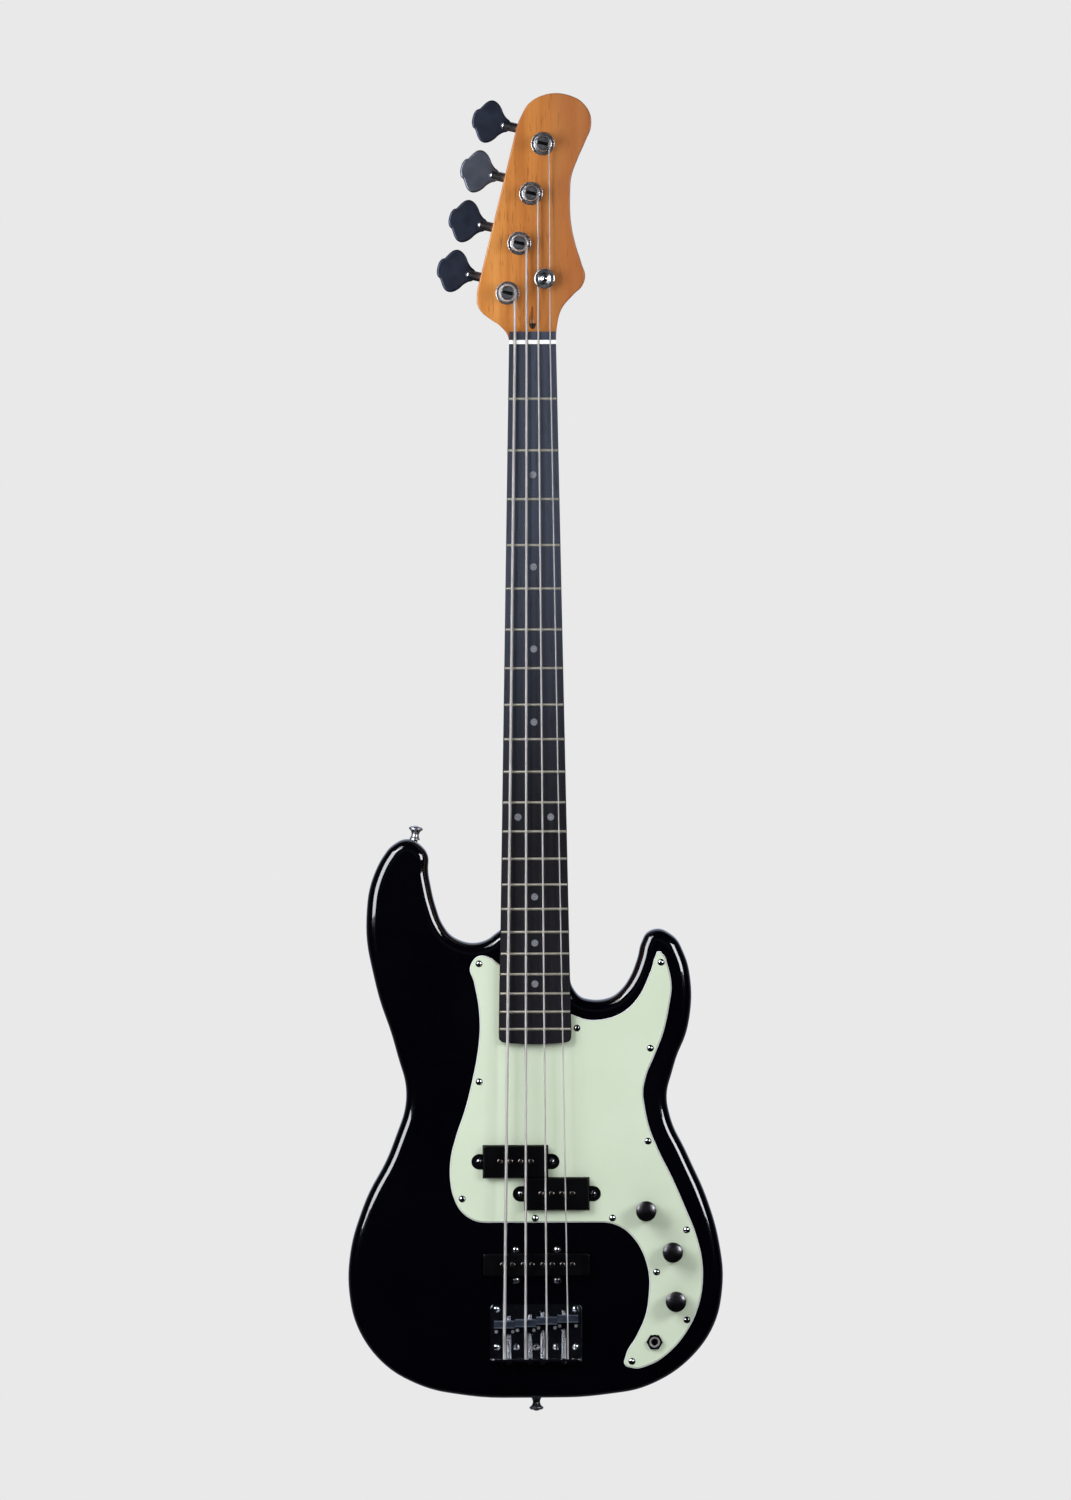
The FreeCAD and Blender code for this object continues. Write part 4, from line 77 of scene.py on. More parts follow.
STRINGS = ("e", "a", "d", "g")
PICKUPS = ("bass", "treble", "bridge")
KNOBS = ("control_knob_1", "control_knob_2", "control_knob_3")
TUNERS = (1, 2, 3, 4)


# Node graphs


class Link:
    """One output of a node. Sums, products and comparisons of links add Math nodes."""

    def __init__(self, graph, node, out=0):
        self.graph = graph
        self.node = node
        self.out = out

    @property
    def socket(self):
        return self.node.outputs[self.out]

    def other(self, out):
        return Link(self.graph, self.node, out)

    def __add__(self, value):
        return self.graph.math("ADD", self, value)

    def __radd__(self, value):
        return self.graph.math("ADD", value, self)

    def __sub__(self, value):
        return self.graph.math("SUBTRACT", self, value)

    def __rsub__(self, value):
        return self.graph.math("SUBTRACT", value, self)

    def __mul__(self, value):
        return self.graph.math("MULTIPLY", self, value)

    def __rmul__(self, value):
        return self.graph.math("MULTIPLY", value, self)

    def __neg__(self):
        return self.graph.math("MULTIPLY", self, -1.0)

    def __pow__(self, value):
        return self.graph.math("POWER", self, value)

    def __gt__(self, value):
        return self.graph.math("GREATER_THAN", self, value)

    def __lt__(self, value):
        return self.graph.math("LESS_THAN", self, value)


class Graph:
    """The nodes of one tree: a material, the world or a geometry tree."""

    # Sockets of a Mix node that is set to colours, by number because their names repeat
    MIX_FACTOR, MIX_FIRST, MIX_SECOND, MIX_RESULT = 0, 6, 7, 2

    def __init__(self, tree):
        self.tree = tree

    def add(self, kind, settings=None, inputs=None, out=0):
        """A node of this kind: its settings first, then the values or links of its sockets."""
        node = self.tree.nodes.new(kind)
        for name, value in (settings or {}).items():
            if name == "stops":
                self.set_stops(node.color_ramp.elements, value)
            else:
                setattr(node, name, value)
        for name, value in (inputs or {}).items():
            for item in value if isinstance(value, list) else [value]:
                if isinstance(item, Link):
                    self.tree.links.new(item.socket, node.inputs[name])
                else:
                    node.inputs[name].default_value = item
        return Link(self, node, out)

    def set_stops(self, elements, stops):
        while len(elements) < len(stops):
            elements.new(1.0)
        for element, (place, colour) in zip(elements, stops):
            element.position = place
            element.color = colour

    def math(self, operation, *values):
        return self.add("ShaderNodeMath", {"operation": operation}, dict(enumerate(values)))

    def axes(self, vector):
        parts = self.add("ShaderNodeSeparateXYZ", None, {"Vector": vector})
        return parts, parts.other("Y"), parts.other("Z")

    def vector(self, x, y, z):
        return self.add("ShaderNodeCombineXYZ", None, {"X": x, "Y": y, "Z": z})

    def ramp(self, factor, *stops):
        return self.add("ShaderNodeValToRGB", {"stops": stops}, {"Fac": factor})

    def mix(self, factor, first, second):
        sockets = {self.MIX_FACTOR: factor, self.MIX_FIRST: first, self.MIX_SECOND: second}
        return self.add("ShaderNodeMix", {"data_type": "RGBA"}, sockets, self.MIX_RESULT)

    def fade(self, value, low, high):
        """0 below low, 1 above high, smooth between them."""
        sockets = {"Value": value, "From Min": low, "From Max": high}
        return self.add("ShaderNodeMapRange", {"interpolation_type": "SMOOTHSTEP"}, sockets)


class Finish(Graph):
    """One material. Fixed values sit on the shader's own sockets, and feed() links what varies."""

    def __init__(self, name, fixed):
        self.material = bpy.data.materials.new(name)
        self.material.use_nodes = True
        super().__init__(self.material.node_tree)
        self.tree.nodes.clear()
        surface = self.add("ShaderNodeBsdfPrincipled", None, fixed)
        self.shader = surface.node
        self.add("ShaderNodeOutputMaterial", None, {"Surface": surface})
        self.spot = self.add("ShaderNodeTexCoord", None, None, "Object")

    def noise(self, scale, stretch=(1, 1, 1), detail=3.0):
        spot = self.add("ShaderNodeMapping", None, {"Vector": self.spot, "Scale": stretch})
        return self.add("ShaderNodeTexNoise", None, {"Vector": spot, "Scale": scale, "Detail": detail})

    def bump(self, height, depth, edge=0.0):
        """Fine relief, on edges rounded over by this much where the piece has them broken."""
        inputs = {"Height": height, "Distance": depth}
        if edge:
            inputs["Normal"] = self.add("ShaderNodeBevel", {"samples": 6}, {"Radius": edge})
        return self.add("ShaderNodeBump", None, inputs)

    def feed(self, sockets):
        for name, link in sockets.items():
            self.tree.links.new(link.socket, self.shader.inputs[name])
        return self.material


def srgb(red, green, blue):
    """A colour as a screen shows it, from 0 to 255, in the linear values that a shader takes."""
    shares = (red / 255, green / 255, blue / 255)
    return tuple(c / 12.92 if c <= 0.04045 else ((c + 0.055) / 1.055) ** 2.4 for c in shares) + (1.0,)


# Finishes


def black_lacquer():
    f = Finish("black_lacquer", {"Coat Roughness": 0.015})
    depth = f.noise(7.0)
    wipe = f.noise(45.0, (1, 1, 0.2))
    peel = f.noise(420.0, detail=1.0)
    return f.feed({
        "Base Color": f.ramp(depth, (0.3, srgb(1, 1, 4)), (0.7, srgb(4, 4, 8))),
        "Roughness": 0.06 + wipe * 0.08,
        "Coat Weight": 0.8 + depth * 0.2,
        "Normal": f.bump(peel, depth=0.003 * MM),
    })


def roasted_maple():
    """Brown maple under a thin coat, darker towards the right (+x)."""
    darkening_start, darkening_end, darkening_wander = -10 * MM, 45 * MM, 30 * MM
    f = Finish("roasted_maple", {"Specular IOR Level": 0.4, "Coat Roughness": 0.08})
    rings = f.noise(1.0, (75, 60, 2.5))
    fibres = f.noise(1.0, (1100, 800, 16), 2.0)
    flecks = f.noise(1.0, (700, 500, 60), 1.0)
    clouds = f.noise(1.0, (22, 20, 9), 2.0)
    wood = f.ramp(rings, (0.3, srgb(172, 102, 42)), (0.5, srgb(202, 130, 58)), (0.7, srgb(216, 148, 74)))
    wood = f.mix(f.fade(clouds, 0.45, 0.75) * 0.45, wood, srgb(150, 80, 34))
    wood = f.mix(fibres * 0.3, wood, srgb(146, 78, 28))
    wood = f.mix((flecks > 0.66) * 0.35, wood, srgb(118, 62, 24))
    right_darkening = f.fade(f.axes(f.spot)[0] + (rings - 0.5) * darkening_wander, darkening_start, darkening_end)
    wood = f.mix(right_darkening * 0.62, wood, srgb(142, 77, 45))
    return f.feed({
        "Base Color": wood,
        "Roughness": 0.3 + fibres * 0.15,
        "Coat Weight": 0.35 + rings * 0.3,
        "Normal": f.bump(fibres, depth=0.01 * MM),
    })


def dark_board():
    """Dark open-pored wood, with a painted sheen that turns it paler and bluer towards the nut."""
    sheen_fades_at, sheen_full_at = -450 * MM, -150 * MM
    f = Finish("dark_board", {"Specular IOR Level": 0.35})
    bands = f.noise(1.0, (70, 60, 3))
    pores = f.fade(f.noise(1.0, (1500, 1200, 45), 2.0), 0.56, 0.68)
    # painted sheen: the board is coloured paler and bluer towards the nut, in place of the overhead
    # light's reflection
    painted_sheen = f.fade(f.axes(f.spot)[2], sheen_fades_at, sheen_full_at)
    board_tone = f.ramp(bands, (0.3, srgb(11, 10, 17)), (0.5, srgb(16, 15, 23)), (0.72, srgb(25, 23, 31)))
    pale = f.ramp(bands, (0.3, srgb(46, 51, 64)), (0.5, srgb(57, 63, 77)), (0.72, srgb(69, 75, 90)))
    wood = f.mix(painted_sheen, board_tone, pale)
    return f.feed({
        "Base Color": f.mix(pores * 0.6, wood, srgb(14, 13, 16)),
        "Roughness": 0.45 + pores * 0.3,
        "Normal": f.bump(1 - pores, depth=0.05 * MM),
    })


def fret_wire():
    f = Finish("fret_wire", {"Metallic": 0.9})
    rub = f.noise(1.0, (60, 2500, 2500), 2.0)
    play = f.noise(110.0)
    return f.feed({
        "Base Color": f.ramp(play, (0.3, srgb(236, 230, 210)), (0.7, srgb(252, 247, 230))),
        "Roughness": 0.36 + rub * 0.16,
        "Normal": f.bump(rub, depth=0.004 * MM),
    })


def pearl_dot():
    f = Finish("pearl_dot", {"Coat Weight": 0.5, "Coat Roughness": 0.1})
    swirl = f.noise(330.0, (1, 1, 2.5), 4.0)
    return f.feed({
        "Base Color": f.ramp(swirl, (0.35, srgb(104, 107, 115)), (0.65, srgb(146, 148, 152))),
        "Roughness": 0.22 + swirl * 0.2,
    })


def bone():
    f = Finish("bone", {"Specular IOR Level": 0.45})
    streaks = f.noise(1.0, (220, 1600, 1600))
    rub = f.noise(700.0)
    return f.feed({
        "Base Color": f.ramp(streaks, (0.3, srgb(232, 231, 226)), (0.7, srgb(245, 245, 242))),
        "Roughness": 0.25 + rub * 0.25,
        "Normal": f.bump(rub, depth=0.006 * MM),
    })


def chrome(name="chrome", edge=0.0, rough=0.03):
    f = Finish(name, {"Metallic": 1.0})
    cloud = f.noise(130.0)
    wipe = f.noise(1.0, (900, 300, 300), 2.0)
    return f.feed({
        "Base Color": f.ramp(cloud, (0.3, srgb(216, 218, 224)), (0.7, srgb(234, 235, 238))),
        "Roughness": rough + cloud * 0.05 + wipe * 0.04,
        "Normal": f.bump(wipe, depth=0.0015 * MM, edge=edge),
    })


def dull_plate(name, low, high, rough=0.28, edge=0.0):
    f = Finish(name, {"Metallic": 1.0})
    cloud = f.noise(220.0)
    brush = f.noise(1.0, (250, 2200, 250), 2.0)
    return f.feed({
        "Base Color": f.ramp(cloud, (0.3, low), (0.7, high)),
        "Roughness": rough + brush * 0.25,
        "Normal": f.bump(brush, depth=0.006 * MM, edge=edge),
    })


def smoked_chrome():
    f = Finish("smoked_chrome", {"Metallic": 1.0})
    cloud = f.noise(150.0)
    return f.feed({
        "Base Color": f.ramp(cloud, (0.3, srgb(106, 105, 109)), (0.7, srgb(134, 132, 135))),
        "Roughness": 0.17 + cloud * 0.12,
        "Normal": f.bump(f.noise(900.0, detail=1.0), depth=0.003 * MM),
    })


def key_plate(name, low_tone, high_tone):
    """Satin blades on polished stems: a stem stands proud of the blade at its front and back."""
    blade_half = 2.5 * MM
    soft = 0.1 * MM
    f = Finish(name, {"Metallic": 1.0})
    low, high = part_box("tuner_key_1")
    off_axis = f.math("ABSOLUTE", f.axes(f.spot)[1] - (low.y + high.y) / 2)
    stem = f.fade(off_axis, blade_half, blade_half + soft)
    cloud = f.noise(90.0)
    satin = f.ramp(cloud, (0.3, low_tone), (0.7, high_tone))
    return f.feed({
        "Base Color": f.mix(stem, satin, srgb(204, 206, 212)),
        "Roughness": 0.38 + cloud * 0.06 - stem * 0.16,
        "Normal": f.bump(f.noise(1.0, (400, 1500, 1500), 2.0), depth=0.002 * MM),
    })


def saddle_plate(node):
    """Satin where the string bears, polished behind it, with a painted highlight line between the two and
    at the end toward the neck.
    """
    soft = 0.3 * MM
    line_width = 1.0 * MM
    line_share = 0.45
    lip_start, lip_end = 0.9 * MM, 0.4 * MM
    f = Finish(node + "_plate", {"Metallic": 1.0})
    low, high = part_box(node)
    z = f.axes(f.spot)[2]
    line = low.z * (1 - line_share) + high.z * line_share
    far_side = line + line_width
    satin = f.fade(z, line - soft, line + soft)
    # painted highlight: a pale band where the polished part meets the satin part, and one along the end
    # toward the neck
    painted_highlight = satin * f.fade(-z, -far_side - soft, -far_side + soft)
    painted_highlight = f.math("MAXIMUM", painted_highlight, f.fade(z, high.z - lip_start, high.z - lip_end))
    cloud = f.noise(220.0)
    tone = f.ramp(cloud, (0.3, srgb(92, 104, 126)), (0.7, srgb(116, 130, 154)))
    return f.feed({
        "Base Color": f.mix(painted_highlight, tone, srgb(178, 190, 210)),
        "Roughness": 0.1 + cloud * 0.08 + satin * 0.2,
        "Normal": f.bump(f.noise(1.0, (250, 2200, 250), 2.0), depth=0.006 * MM, edge=0.3 * MM),
    })


def post_plate(node):
    """Satin tops and barrels, with painted shade darkening the slot across the top."""
    slot_reach = 4.9 * MM
    top_start, top_end = 0.5 * MM, 0.8 * MM
    f = Finish(node + "_plate", {"Metallic": 1.0})
    low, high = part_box(node)
    x, y, z = f.axes(f.spot)
    side = x - (low.x + high.x) / 2
    rise = z - (low.z + high.z) / 2
    turned = f.fade(y, low.y + top_start, low.y + top_end)
    # painted shade: inside the slot the metal is coloured dark
    slot = turned * (f.math("SQRT", side * side + rise * rise) < slot_reach)
    cloud = f.noise(220.0)
    tone = f.ramp(cloud, (0.3, srgb(190, 190, 193)), (0.7, srgb(216, 216, 219)))
    return f.feed({
        "Base Color": f.mix(slot, f.mix(turned, tone, srgb(240, 240, 242)), srgb(52, 52, 54)),
        "Roughness": 0.24 + cloud * 0.08 + turned * 0.16,
        "Normal": f.bump(f.noise(1.0, (1500, 300, 1500), 2.0), depth=0.003 * MM),
    })


def wound_string():
    """Round wire wound on a core: ridges along the string, coloured darker in between."""
    pitch = 0.42 * MM
    f = Finish("wound_string", {"Metallic": 1.0})
    z = f.axes(f.spot)[2]
    ridge = f.math("SINE", z * (2 * math.pi / pitch)) * 0.5 + 0.5
    tarnish = f.noise(90.0, (1, 1, 0.3))
    clean = f.ramp(tarnish, (0.3, srgb(238, 233, 229)), (0.7, srgb(252, 248, 245)))
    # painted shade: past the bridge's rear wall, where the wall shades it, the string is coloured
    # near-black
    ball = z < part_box("bridge_plate")[0].z
    wire = f.mix((1 - ridge) * 0.35, clean, srgb(140, 133, 127))
    return f.feed({
        "Base Color": f.mix(ball, wire, srgb(24, 22, 20)),
        "Roughness": 0.44 + tarnish * 0.16,
        "Normal": f.bump(ridge, depth=0.09 * MM),
    })


def mint_laminate():
    """Three plies that show along the bevel: mint, a thin black one and a white backing."""
    mint_depth, backing_depth = 0.4 * MM, 0.56 * MM
    seam = 0.04 * MM
    f = Finish("mint_laminate", {"Specular IOR Level": 0.45})
    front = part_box("pickguard")[0].y
    y = f.axes(f.spot)[1]
    cloud = f.noise(14.0)
    scuff = f.noise(1.0, (500, 500, 2600), 2.0)
    black_ply = f.fade(y, front + mint_depth, front + mint_depth + seam)
    backing = f.fade(y, front + backing_depth, front + backing_depth + seam)
    mint = f.ramp(cloud, (0.3, srgb(204, 217, 191)), (0.7, srgb(210, 222, 197)))
    plies = f.mix(black_ply, mint, srgb(20, 22, 21))
    return f.feed({
        "Base Color": f.mix(backing, plies, srgb(242, 246, 243)),
        "Roughness": 0.22 + scuff * 0.16,
        "Normal": f.bump(f.noise(60.0, detail=1.0), depth=0.01 * MM),
    })


def black_plastic():
    f = Finish("black_plastic", {"Specular IOR Level": 0.25})
    cloud = f.noise(60.0)
    grain = f.noise(2600.0, detail=1.0)
    return f.feed({
        "Base Color": f.ramp(cloud, (0.3, srgb(3, 3, 5)), (0.7, srgb(7, 7, 9))),
        "Roughness": 0.24 + cloud * 0.1,
        "Normal": f.bump(grain, depth=0.006 * MM),
    })


def lead_plastic():
    f = Finish("lead_plastic", {"Specular IOR Level": 0.4})
    cloud = f.noise(160.0)
    return f.feed({
        "Base Color": f.ramp(cloud, (0.35, srgb(40, 40, 42)), (0.65, srgb(66, 66, 68))),
        "Roughness": 0.4 + cloud * 0.2,
        "Normal": f.bump(f.noise(1800.0), depth=0.02 * MM),
    })


def copper_winding():
    pitch = 0.3 * MM
    f = Finish("copper_winding", {"Metallic": 0.8})
    y = f.axes(f.spot)[1]
    turns = f.math("SINE", y * (2 * math.pi / pitch)) * 0.5 + 0.5
    cloud = f.noise(120.0)
    return f.feed({
        "Base Color": f.ramp(cloud, (0.3, srgb(128, 62, 30)), (0.7, srgb(172, 92, 48))),
        "Roughness": 0.3 + cloud * 0.2,
        "Normal": f.bump(turns, depth=0.05 * MM),
    })


def foam_rubber():
    f = Finish("foam_rubber", {"Specular IOR Level": 0.2})
    cells = f.add("ShaderNodeTexVoronoi", None, {"Vector": f.spot, "Scale": 900.0})
    cloud = f.noise(90.0)
    return f.feed({
        "Base Color": f.ramp(cloud, (0.3, srgb(48, 48, 50)), (0.7, srgb(70, 70, 72))),
        "Roughness": 0.8 + cloud * 0.15,
        "Normal": f.bump(cells, depth=0.3 * MM),
    })


FINISHES = {
    "black_gloss": black_lacquer(),
    "maple": roasted_maple(),
    "dark_wood": dark_board(),
    "fret_wire": fret_wire(),
    "grey_dot": pearl_dot(),
    "white_bone": bone(),
    "steel": chrome("bright_steel", rough=0.08),
    "chrome": chrome(),
    "mint_plastic": mint_laminate(),
    "pot_metal": dull_plate("plated_can", srgb(150, 148, 142), srgb(186, 183, 176)),
    "lead_plastic": lead_plastic(),
    "foam": foam_rubber(),
    "black_plastic": black_plastic(),
    "copper_coil": copper_winding(),
    "pole_steel": dull_plate("pole_steel", srgb(118, 110, 106), srgb(150, 142, 136), rough=0.1),
}
SATIN_STEEL = dull_plate("satin_steel", srgb(206, 203, 200), srgb(230, 227, 224), rough=0.3)
OWN_FINISHES = {
    "output_jack": dull_plate("jack_plate", srgb(214, 208, 203), srgb(238, 233, 228),
                              rough=0.38, edge=0.3 * MM),
    "strap_buttons": dull_plate("button_plate", srgb(176, 176, 180), srgb(206, 206, 210), rough=0.24),
    "bridge_plate": chrome("bridge_chrome", edge=0.6 * MM),
    # painted shade: the truss rod nut, deep in its channel, is coloured near-black
    "truss_rod_nut": dull_plate("blackened_steel", srgb(30, 28, 28), srgb(46, 43, 42)),
}
OWN_FINISHES.update(dict.fromkeys(["string_" + name for name in STRINGS], wound_string()))
OWN_FINISHES.update({"saddle_" + name: saddle_plate("saddle_" + name) for name in STRINGS})
OWN_FINISHES.update(dict.fromkeys(KNOBS, smoked_chrome()))
OWN_FINISHES.update(dict.fromkeys(
    ["tuner_key_%d" % number for number in TUNERS],
    key_plate("key_plate", srgb(63, 68, 84), srgb(74, 80, 97))))
# painted reflection: the third key is a lighter copy of the same finish, for a brighter reflection than
# the others
OWN_FINISHES["tuner_key_3"] = key_plate("key_plate_rubbed", srgb(108, 113, 126), srgb(124, 129, 142))
OWN_FINISHES.update({node: post_plate(node) for node in ("tuner_post_%d" % number for number in TUNERS)})
OWN_FINISHES.update(dict.fromkeys(
    ["tuner_ferrules", "string_retainer"],
    dull_plate("turned_nickel", srgb(214, 215, 218), srgb(238, 238, 240), rough=0.12, edge=0.3 * MM)))

for node_name, node in NODES.items():
    node.data.materials.clear()
    node.data.materials.append(OWN_FINISHES.get(node_name, FINISHES[SLOTS[node_name]]))


# Places measured on the CAD solids


def solids(name):
    """Corners of each separate solid of a CAD node, from the bottom up."""
    weld = 0.001 * MM
    shape = bmesh.new()
    shape.from_mesh(NODES[name].data)
    bmesh.ops.remove_doubles(shape, verts=shape.verts, dist=weld)
    left = set(shape.verts)
    found = []
    for start in shape.verts:
        if start not in left:
            continue
        left.remove(start)
        queue = [start]
        corners = []
        while queue:
            corner = queue.pop()
            corners.append(corner.co[:])
            for edge in corner.link_edges:
                far = edge.other_vert(corner)
                if far in left:
                    left.remove(far)
                    queue.append(far)
        found.append(np.array(corners))
    shape.free()
    return sorted(found, key=lambda corners: tuple(corners.mean(axis=0)[::-1].round(5)))


def screw_sizes(corners):
    """Seat, facing, head radius, head height, shank radius and length of one screw's solid."""
    below_head = 0.5 * MM
    middle = corners.mean(axis=0)
    first = corners[np.linalg.norm(corners - middle, axis=1).argmax()]
    last = corners[np.linalg.norm(corners - first, axis=1).argmax()]
    axis = (last - first) / np.linalg.norm(last - first)
    along = (corners - first) @ axis
    radii = np.linalg.norm(corners - first - np.outer(along, axis), axis=1)
    station = along[radii.argmax()]
    if station < along.max() / 2:
        first, axis = last, -axis
        along = along.max() - along
        station = along[radii.argmax()]
    shank = radii[along < station - below_head].max()
    return first + axis * station, axis, radii.max(), along.max() - station, shank, station


def front_centre(corners):
    """The middle of a solid's foremost face."""
    low, high = corners.min(axis=0), corners.max(axis=0)
    return Vector(((low[0] + high[0]) / 2, low[1], (low[2] + high[2]) / 2))


# Repeated pieces


class Tree(Graph):
    """A geometry tree with named inputs, which grows pieces on the points of a mesh."""

    # Sockets of a Random Value node that is set to numbers, by number for the same reason
    RANDOM_LOW, RANDOM_HIGH, RANDOM_RESULT = 2, 3, 1

    def __init__(self, name, sizes):
        super().__init__(bpy.data.node_groups.new(name, "GeometryNodeTree"))
        socket = self.tree.interface.new_socket
        socket("Geometry", in_out="INPUT", socket_type="NodeSocketGeometry")
        socket("Geometry", in_out="OUTPUT", socket_type="NodeSocketGeometry")
        for size in sizes:
            socket(size, in_out="INPUT", socket_type="NodeSocketFloat")
        socket("Material", in_out="INPUT", socket_type="NodeSocketMaterial")
        self.entry = self.add("NodeGroupInput").node

    def size(self, name):
        return Link(self, self.entry, name)

    def moved(self, geometry, x, y, z):
        sockets = {"Geometry": geometry, "Translation": self.vector(x, y, z)}
        return self.add("GeometryNodeTransform", None, sockets)

    def joined(self, *pieces):
        return self.add("GeometryNodeJoinGeometry", None, {"Geometry": list(pieces)})

    def facing(self, axis):
        """Turns each piece's own axis to the direction stored on its point."""
        stored = self.add("GeometryNodeInputNamedAttribute", {"data_type": "FLOAT_VECTOR"},
                          {"Name": "facing"})
        return self.add("FunctionNodeAlignRotationToVector", {"axis": axis}, {"Vector": stored})

    def close(self, piece, rotation):
        """Sets the piece on every point and ends the tree."""
        grown = self.add("GeometryNodeInstanceOnPoints", None,
                         {"Points": self.size("Geometry"), "Instance": piece, "Rotation": rotation})
        solid = self.add("GeometryNodeRealizeInstances", None, {"Geometry": grown})
        painted = self.add("GeometryNodeSetMaterial", None,
                           {"Geometry": solid, "Material": self.size("Material")})
        self.add("NodeGroupOutput", None, {"Geometry": painted})

    def grow(self, name, places, ways, slot, sizes, smooth_degrees=35):
        """The tree's result on these points, as an object with a plain mesh."""
        points = bpy.data.meshes.new(name)
        points.from_pydata([tuple(place) for place in places], [], [])
        stored = points.attributes.new("facing", "FLOAT_VECTOR", "POINT")
        for item, way in zip(stored.data, ways):
            item.vector = tuple(way)
        piece = bpy.data.objects.new(name, points)
        bpy.context.scene.collection.objects.link(piece)
        modifier = piece.modifiers.new("grow", "NODES")
        modifier.node_group = self.tree
        values = dict(sizes, Material=FINISHES[slot])
        for item in self.tree.interface.items_tree:
            if item.in_out == "INPUT" and item.name in values:
                modifier[item.identifier] = values[item.name]
        grown = piece.evaluated_get(bpy.context.evaluated_depsgraph_get())
        mesh = bpy.data.meshes.new_from_object(grown)
        piece.modifiers.remove(modifier)
        piece.data = mesh
        mesh.materials.clear()
        mesh.materials.append(FINISHES[slot])
        mesh.shade_smooth()
        mesh.set_sharp_from_angle(angle=math.radians(smooth_degrees))
        return piece


def screw_tree():
    """Domed head with a cross recess, on a pointed shank; the head faces the point's direction."""
    t = Tree("cross_head_screw", ("Head radius", "Head height", "Shank radius", "Length"))
    radius = t.size("Head radius")
    rise = t.size("Head height")
    shank = t.size("Shank radius")
    length = t.size("Length")
    ball = t.add("GeometryNodeMeshUVSphere", None, {"Segments": 28, "Rings": 14, "Radius": 1.0})
    x, y, z = t.axes(t.add("GeometryNodeInputPosition"))
    crown = t.math("MAXIMUM", z, 0.0) ** 2.0
    dome = t.add("GeometryNodeSetPosition", None,
                 {"Geometry": ball, "Position": t.vector(x * radius, y * radius, crown * rise)})
    arm = radius * 1.15
    blade = radius * 0.24
    depth = rise * 1.5
    bars = [t.moved(t.add("GeometryNodeMeshCube", None, {"Size": size}), 0.0, 0.0, rise)
            for size in (t.vector(arm, blade, depth), t.vector(blade, arm, depth))]
    head = t.add("GeometryNodeMeshBoolean", {"operation": "DIFFERENCE", "solver": "EXACT"},
                 {"Mesh 1": dome, "Mesh 2": [t.joined(*bars)], "Self Intersection": True})
    tip = shank * 2.0
    straight = length - tip
    rod = t.add("GeometryNodeMeshCylinder", None, {"Vertices": 12, "Radius": shank, "Depth": straight})
    point = t.add("GeometryNodeMeshCone", None,
                  {"Vertices": 12, "Radius Top": shank, "Radius Bottom": shank * 0.05, "Depth": tip})
    shank_rod = t.moved(rod, 0.0, 0.0, straight * -0.5)
    screw = t.joined(head, shank_rod, t.moved(point, 0.0, 0.0, -length))
    turn = t.add("FunctionNodeRandomValue", {"data_type": "FLOAT"},
                 {t.RANDOM_LOW: 0.0, t.RANDOM_HIGH: math.pi / 2, "Seed": SEED}, t.RANDOM_RESULT)
    spin = t.add("FunctionNodeEulerToRotation", None, {"Euler": t.vector(0.0, 0.0, turn)})
    turned = t.add("FunctionNodeRotateRotation", {"rotation_space": "LOCAL"},
                   {"Rotation": t.facing("Z"), "Rotate By": spin})
    t.close(screw, turned)
    return t


def coil_tree(name):
    """Round wire wound along the point's direction, from the point on."""
    t = Tree(name, ("Turns", "Coil radius", "Wire radius", "Length"))
    spiral = t.add("GeometryNodeCurveSpiral", None, {
        "Resolution": 20, "Rotations": t.size("Turns"), "Start Radius": t.size("Coil radius"),
        "End Radius": t.size("Coil radius"), "Height": t.size("Length"), "Reverse": True})
    wire = t.add("GeometryNodeCurvePrimitiveCircle", None,
                 {"Resolution": 6, "Radius": t.size("Wire radius")})
    coil = t.add("GeometryNodeCurveToMesh", None,
                 {"Curve": spiral, "Profile Curve": wire, "Fill Caps": True})
    t.close(coil, t.facing("Z"))
    return t


def knurl_tree():
    """A ring of fine upright ribs about the point's direction."""
    t = Tree("knurled_band", ("Ribs", "Band radius", "Rib radius", "Band height"))
    ring = t.add("GeometryNodeMeshCircle", None,
                 {"Vertices": t.size("Ribs"), "Radius": t.size("Band radius")})
    rib = t.add("GeometryNodeMeshCylinder", None,
                {"Vertices": 4, "Radius": t.size("Rib radius"), "Depth": t.size("Band height")})
    outward = t.add("FunctionNodeAlignRotationToVector", {"axis": "X"},
                    {"Vector": t.add("GeometryNodeInputPosition")})
    band = t.add("GeometryNodeInstanceOnPoints", None,
                 {"Points": ring, "Instance": rib, "Rotation": outward})
    t.close(band, t.facing("Z"))
    return t


def socket_tree():
    """A round cap with a hexagon socket, for the heads of grub screws."""
    t = Tree("hexagon_socket_cap", ("Cap radius", "Cap height"))
    radius = t.size("Cap radius")
    height = t.size("Cap height")
    cap = t.add("GeometryNodeMeshCylinder", None, {"Vertices": 24, "Radius": radius, "Depth": height})
    key = t.add("GeometryNodeMeshCylinder", None,
                {"Vertices": 6, "Radius": radius * 0.55, "Depth": height * 1.6})
    socket = t.add("GeometryNodeMeshBoolean", {"operation": "DIFFERENCE", "solver": "EXACT"},
                   {"Mesh 1": cap, "Mesh 2": [t.moved(key, 0.0, 0.0, height * 0.5)]})
    t.close(t.moved(socket, 0.0, 0.0, height * 0.5), t.facing("Z"))
    return t


